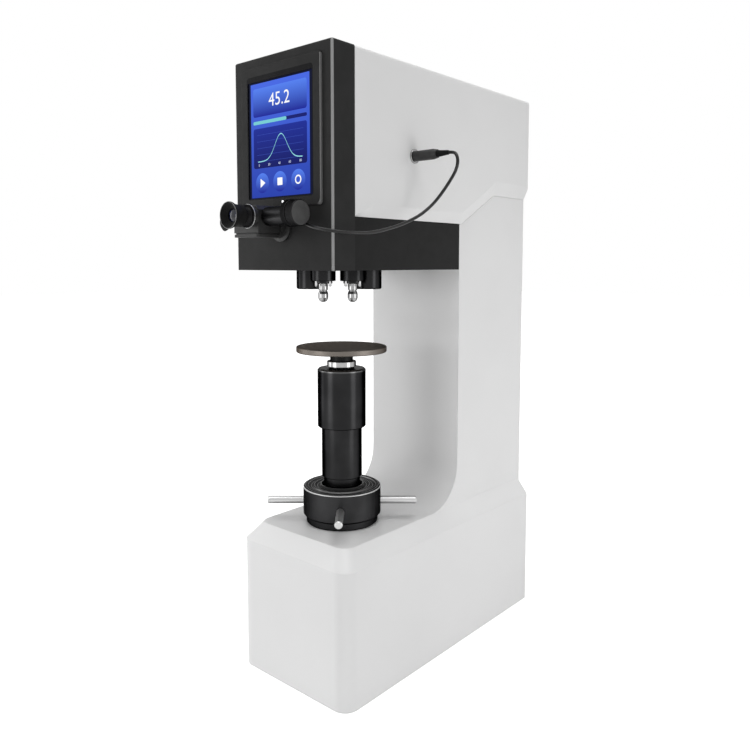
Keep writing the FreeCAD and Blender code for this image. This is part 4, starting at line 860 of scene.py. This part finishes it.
class EyepieceOperator(bpy.types.Operator):
    """Make the ocular barrel with its eyecup, and the measuring drum with its fluted sleeve."""

    bl_idname = "tester.eyepiece"
    bl_label = "Measuring eyepiece"

    def execute(self, context):
        grip = context.scene.tester_eyepiece
        self.barrel()
        self.eyecup(grip)
        self.drum(grip)
        return {"FINISHED"}

    def barrel(self):
        """The ocular barrel: a flange, a bright band in it, and five grip ribs whose radius goes
        up and down with the cosine of the way along."""
        _, high, middle = extent("ocular_ring")
        centre = (middle[0], high[1], middle[2])
        along = np.linspace(3.8, 9.6, 51)
        ribs = np.c_[along, 11.35 + 0.3 * np.cos((along - 3.8) / 5.8 * 10 * np.pi)]
        profile = [(0, 9.2), (0, 13.0), (0.4, 13.5), (3.0, 13.5), (3.4, 13.1), (3.5, 11.5)]
        profile += ribs.tolist() + [(10.0, 11.9), (10.7, 12.5), (11, 12.5), (11, 9.2), (0, 9.2)]
        holds = ("ocular", "plastic_black", "ocular_ring")
        turned_piece("ocular_barrel", profile, centre, -Y, "knurl", *holds)
        band = [(1.0, 13.3), (1.0, 13.8), (1.15, 13.95), (1.75, 13.95), (1.9, 13.8), (1.9, 13.3)]
        band.append(band[0])
        turned_piece("ocular_band", band, centre, -Y, "band", "ocular", "polished_steel")

    def eyecup(self, grip):
        """The rubber cup: a flared outer wall, a rolled rim, an inner bowl, and a side wing that
        adds to the radius round one direction. The lens in the bowl is a quarter of an ellipse
        turned round the axis."""
        _, high, middle = extent("eyecup")
        centre = (middle[0], high[1], middle[2])
        profile = [(0, 9.3), (0, 12.6), (1.2, 13.0), (2.6, 12.8), (3.4, 12.4), (8, 12.7), (11.6, 13.4)]
        profile += [(13.8, 14.2), (14.6, 14.8), (15.6, 15.2), (16.6, 15.4), (17.5, 15.4), (18, 15.0)]
        profile += [(18, 14.4), (17.4, 13.6), (15, 10.9), (12.8, 8.4), (12.2, 7.7), (11, 7.5)]
        profile += [(4, 7.5), (0, 9.3)]
        share = np.interp(np.arange(len(profile)), [6, 7, 8, 9, 10, 11], [0, 0.35, 1, 1, 0.7, 0])[:, None]

        def wing(row, angle):
            aside = (angle - grip.wing_side + np.pi) % (2 * np.pi) - np.pi
            return grip.wing * share[row[:, 0]] * np.exp(-((aside / 0.5) ** 4))

        holds = ("ocular", "rubber", "eyecup")
        turned_piece("eyecup_rubber", profile, centre, -Y, "rubber", *holds, 144, wing)
        bow = np.linspace(0, 1, 12)
        dome = np.c_[10.8 + 1.6 * np.cos(bow * np.pi / 2), 7.45 * np.sin(bow * np.pi / 2)]
        lens = np.r_[[(9.5, 0), (9.5, 7.45)], dome[::-1]]
        turned_piece("eye_glass", lens, centre, -Y, "optic", "ocular", "optic_glass", "eye_lens")
        # The rolled rim's ring takes a light grey finish, a painted highlight standing for light caught on
        # the rubber's edge.
        turn = np.linspace(0, 2 * np.pi, 13)
        rim = np.c_[17.9 + 0.25 * np.cos(turn), 14.9 + 0.3 * np.sin(turn)]
        turned_piece("eyecup_rim", rim, centre, -Y, "rim", "ocular", "rubber")

    def drum(self, grip):
        """The neck, the sleeve and the knob: turned pieces whose flutes take from the radius as a
        raised cosine of the angle."""
        holds = ("eyepiece", "plastic_black")
        steps = 6 * grip.flutes
        centre, reach = self.lying("drum_neck", lift=-0.002)
        reach += grip.neck / MM
        profile = [(0, 0), (0, 10.9), (reach, 10.9), (reach, 0)]
        turned_piece("neck_tube", profile, centre, X, "satin", *holds, "drum_neck")
        centre, reach = self.lying("encoder_housing", start=grip.neck)
        profile = [(-1, 0), (-1, 11.5), (0, 14.3), (0.5, 15.1), (1.0, 15.5), (1.2, 15.6)]
        profile += [(reach - 0.7, 15.6), (reach - 0.5, 15.5), (reach, 15.1), (reach, 0)]
        cut = self.flutes(grip, (5, 6))
        turned_piece("drum_sleeve", profile, centre, X, "knurl", *holds, "encoder_housing", steps, cut)
        holds = ("drum", "plastic_black")
        centre, reach = self.lying("measuring_drum")
        profile = [(0, 0), (0, 14.2), (0.3, 14.6), (0.6, 14.8), (0.7, 14.9), (reach - 1.2, 14.9)]
        profile += [(reach - 1.0, 14.7), (reach - 0.4, 14.3), (reach - 0.1, 13.9), (reach - 0.1, 0)]
        cut = self.flutes(grip, (4, 5))
        turned_piece("drum_knob", profile, centre, X, "knurl", *holds, "measuring_drum", steps, cut)
        face = [(reach - 0.3, 0), (reach - 0.3, 13.8), (reach - 0.05, 13.8), (reach, 13.6), (reach, 0)]
        turned_piece("drum_face", face, centre, X, "face", *holds)

    def lying(self, node, start=0.0, lift=0.0):
        """Where a node that lies along X begins, moved on by start and up by lift, and how far it
        reaches from there in millimetres."""
        low, high, middle = extent(node)
        return (low[0] + start, middle[1], middle[2] + lift), (high[0] - low[0] - start) / MM

    def flutes(self, grip, rows):
        """The wave that cuts flutes into the given profile rows."""

        def wave(row, angle):
            cut = 0.5 - 0.5 * np.cos(grip.flutes * angle)
            return -grip.flute_depth * np.isin(row, rows) * cut

        return wave


class DetailOperator(bpy.types.Operator):
    """Add the small parts: the lit lamp, the hub's bright rim, the holders' pins, the ring's set
    screw and the switch marks."""

    bl_idname = "tester.detail"
    bl_label = "Small parts"

    def execute(self, context):
        self.lamp_dome()
        self.hub_rim()
        self.holder_pins()
        self.ring_screw()
        self.switch_marks()
        return {"FINISHED"}

    def lamp_dome(self):
        """The lamp under the screen: a low wall, then a dome whose radius falls along its axis as
        a circle's does."""
        low, _, middle = extent("status_lamp")
        seat = (middle[0], low[1] + 0.0012, middle[2] + 0.0022)
        rise = np.linspace(0, np.pi / 2, 8)
        profile = [(0, 0), (0, 1.7)] + np.c_[0.6 + 1.2 * np.sin(rise), 1.7 * np.cos(rise)].tolist()
        turned_piece("lamp_dome", profile, seat, -Y, "lamp", "frame", "lamp_lens", "status_lamp", 32)

    def hub_rim(self):
        """The bright turned chamfer on the hub's upper edge."""
        low, high, _ = extent("handwheel_hub")
        reach = (high[0] - low[0]) / 2 / MM
        top = high[2] / MM
        profile = [(top - 2.1, reach - 0.3), (top - 2.1, reach + 0.04), (top - 1.3, reach + 0.04)]
        profile += [(top - 0.9, reach - 0.9), (top - 1.6, reach - 1.2), (top - 2.1, reach - 0.3)]
        turned_piece("hub_rim", profile, (0, 0, 0), Z, "band", "handwheel", "polished_steel", steps=128)

    def holder_pins(self):
        """Four bright pins under each indenter holder, evenly round its axis."""
        rings = []
        profile = MM * np.array([(0, 0), (0, 1.7), (6.2, 1.7), (7.2, 1.1), (7.4, 0)])
        for node in ("indenter_holder_left", "indenter_holder_right"):
            low, _, middle = extent(node)
            for turn in np.arange(4) * math.pi / 2:
                foot = middle[:2] + 0.0129 * np.array((math.cos(turn), math.sin(turn)))
                ring, quads = turned(profile, (*foot, low[2] + 0.0034), -Z, X, 16)
                rings.append(ring.reshape(-1, 3))
        faces = np.concatenate([quads + place * len(rings[0]) for place in range(len(rings))])
        points = np.concatenate(rings)
        put_mesh("holder_pins", points, faces, FINISHES["steel"], "turret")

    def ring_screw(self):
        """The set screw in the bright ring: a small head with a socket, turned round its axis."""
        low, _, _ = extent("spindle_ring")
        turn = math.radians(221)
        away = np.array((math.cos(turn), math.sin(turn), 0))
        seat = away * 0.0185 + Z * (low[2] + 0.0042)
        profile = [(0, 0), (0, 2.0), (2.2, 2.0), (2.6, 1.6), (2.6, 0.9), (1.6, 0.8), (1.6, 0)]
        points, faces = turned(MM * np.array(profile), seat, away, Z, 24)
        put_mesh("ring_screw", points, faces, FINISHES["screws"], "spindle")

    def switch_marks(self):
        """A bar and a ring on the switch's two slopes. The ring's points lie between two radii,
        at the depth that the slope has at their height."""
        _, high, middle = extent("power_rocker")
        steps = 32
        turn = np.linspace(0, 2 * np.pi, steps, endpoint=False)
        reach = MM * np.array([[1.8], [2.5]])
        across = (middle[0] + reach * np.cos(turn)).ravel()
        height = (middle[2] + 0.0065 + reach * np.sin(turn)).ravel()
        ring = np.c_[across, self.slope(height, middle[2], high), height]
        across = middle[0] + MM * np.array([-0.35, 0.35, 0.35, -0.35])
        height = middle[2] - 0.006 + MM * np.array([-2.4, -2.4, 2.4, 2.4])
        bar = np.c_[across, self.slope(height, middle[2], high), height]
        quads = np.r_[grid_faces(2, steps), [2 * steps + np.arange(4)]]
        put_mesh("switch_marks", np.r_[ring, bar], quads, FINISHES["mark"], "rocker")

    def slope(self, height, middle, high):
        """How far back the switch's face lies at a height: flat below, rising to its top."""
        rise = np.clip((height - middle) / (high[2] - middle), 0, 1)
        return high[1] - 0.003 * (1 - rise) + 0.00005


class FinishOperator(bpy.types.Operator):
    """Give every CAD piece its own finish."""

    bl_idname = "tester.finish"
    bl_label = "Finishes"

    def execute(self, context):
        for finish, names in FINISHED_NODES.items():
            for name in names.split():
                data = NODES[name].data
                data.materials.clear()
                data.materials.append(FINISHES[finish])
        bare = sorted(set(NODES) - set(" ".join(FINISHED_NODES.values()).split()))
        if bare:
            raise RuntimeError(f"these pieces have no finish: {bare}")
        return {"FINISHED"}


class TesterPanel(bpy.types.Panel):
    """Lists the pieces and the sizes and colours that can be changed."""

    bl_idname = "VIEW3D_PT_tester"
    bl_label = "Hardness Tester"
    bl_space_type = "VIEW_3D"
    bl_region_type = "UI"
    bl_category = "Tester"

    def draw(self, context):
        for operator in OPERATORS:
            self.layout.operator(operator.bl_idname)
        for name, group in SETTINGS.items():
            box = self.layout.box()
            for prop in group.__annotations__:
                box.prop(getattr(context.scene, name), prop)


FINISHES = {}
FINISHED_NODES = {
    "paint": "frame_casting rear_cover head_shell",
    "cover": "front_cover",
    "skirt": "head_skirt",
    "fascia": "screen_fascia",
    "glass": "touch_screen",
    "board": "control_board display_unit",
    "sleeve": "upper_sleeve",
    "black": "lower_tube elevating_screw indenter_holder_left indenter_holder_right"
    " objective_rear objective_side turret_disc",
    "hub": "handwheel_hub",
    "body": "eyepiece_boss eyepiece_housing",
    "satin": "drum_neck encoder_housing measuring_drum ocular_ring",
    "rods": "handwheel_rods",
    "steel": "spindle_ring indenter_left indenter_right turret_shaft lead_socket",
    "machined": "load_shaft load_screw thrust_bearing turret_bearing pivot_pin",
    "anvil": "anvil",
    "bronze": "elevating_nut guide_bushing load_nut shaft_guide",
    "grey": "base_plate key_plate lever_bracket load_lever load_cell",
    "plastic": "power_inlet power_rocker lead_plug loading_motor turret_motor power_supply lead_gland"
    " wiper_ring",
    "rubber": "plug_boot eyecup",
    "lead": "eyepiece_lead",
    "optic": "objective_lenses eye_lens",
    "screws": "rear_cover_screws",
    "lamp": "status_lamp",
}
SETTINGS = {
    "tester_studio": StudioSettings,
    "tester_finish": FinishSettings,
    "tester_lead": LeadSettings,
    "tester_eyepiece": EyepieceSettings,
    "tester_screen": ScreenSettings,
}
OPERATORS = [StageOperator, LeadOperator, ScreenOperator, EyepieceOperator, DetailOperator, FinishOperator]
CLASSES = [*SETTINGS.values(), *OPERATORS, TesterPanel]


def make_finishes(colours, glow):
    """Makes the shared materials."""
    # Between these heights the sleeve's shoulder is painted a paler grey, a painted highlight.
    sleeve_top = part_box("upper_sleeve")[1][2]
    wear_and_highlight = (sleeve_top - 0.0045, sleeve_top - 0.0005)
    FINISHES.update(
        picture=lit_picture(glow),
        lamp=lamp_lens(),
        paint=painted_panel(tuple(colours.paint)),
        # The cover gets its painted edge highlights.
        cover=textured_cover("cover_moulding", tuple(colours.cover), tuple(colours.edge)),
        # The skirt gets a painted shadow at its joint with the cover.
        skirt=textured_cover("skirt_moulding", tuple(colours.skirt), seam_shadow=SKIRT_SEAM_SHADOW),
        # The surround gets painted shade round its window and a painted highlight on its right rim.
        fascia=textured_cover(
            "fascia_moulding",
            tuple(colours.cover),
            recess_shade=WINDOW,
            rim=[(corner[0], corner[2]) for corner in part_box("screen_fascia")],
        ),
        satin=blackened_metal("satin_black", 0.36, 0.042, (700, 700, 700)),
        knurl=blackened_metal("knurled_black", 0.4, 0.015, (700, 700, 700)),
        hub=hub_oxide(0.026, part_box("handwheel_hub")[1][2]),
        body=moulded_plastic("body_black", grey(0.015), 0.5, 900.0),
        face=moulded_plastic("knob_face", grey(0.048), 0.7, 500.0),
        mark=painted_mark(),
        glass=black_glass(),
        board=circuit_board(),
        black=blackened_metal("blackened_metal", 0.22, 0.018),
        sleeve=blackened_metal("sleeve_black", 0.22, 0.018, wear_and_highlight=wear_and_highlight),
        steel=turned_metal("polished_steel", grey(0.34), 0.17, tint=0.05),
        rods=turned_metal("rod_steel", grey(0.52), 0.38, (2600, 2600, 2600), tint=0.05),
        band=turned_metal("bright_edge", grey(0.5), 0.4),
        machined=turned_metal("machined_steel", grey(0.5), 0.32),
        anvil=ground_plate(tuple(colours.plate)),
        bronze=turned_metal("bronze", (0.55, 0.36, 0.16), 0.3),
        grey=turned_metal("plated_steel", (0.45, 0.46, 0.48), 0.42, (400, 400, 400)),
        plastic=moulded_plastic("black_moulding", grey(0.03)),
        rubber=soft_rubber("cup_rubber", 0.008, 0.06),
        lead=soft_rubber("lead_jacket", 0.004, 0.3, 0.3),
        optic=coated_glass(),
        # A light grey for the eyecup's rolled rim, a painted highlight.
        rim=moulded_plastic("rim_painted_highlight", grey(0.22), 0.3),
        screws=turned_metal("blackened_steel", grey(0.05), 0.4),
    )


def register():
    for made in CLASSES:
        bpy.utils.register_class(made)
    for name, group in SETTINGS.items():
        setattr(bpy.types.Scene, name, PointerProperty(type=group))


def unregister():
    for name in SETTINGS:
        delattr(bpy.types.Scene, name)
    for made in reversed(CLASSES):
        bpy.utils.unregister_class(made)


def main():
    """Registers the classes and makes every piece."""
    register()
    make_finishes(bpy.context.scene.tester_finish, bpy.context.scene.tester_screen.glow)
    for operator in OPERATORS:
        group, name = operator.bl_idname.split(".")
        getattr(getattr(bpy.ops, group), name)()


if __name__ == "__main__":
    main()
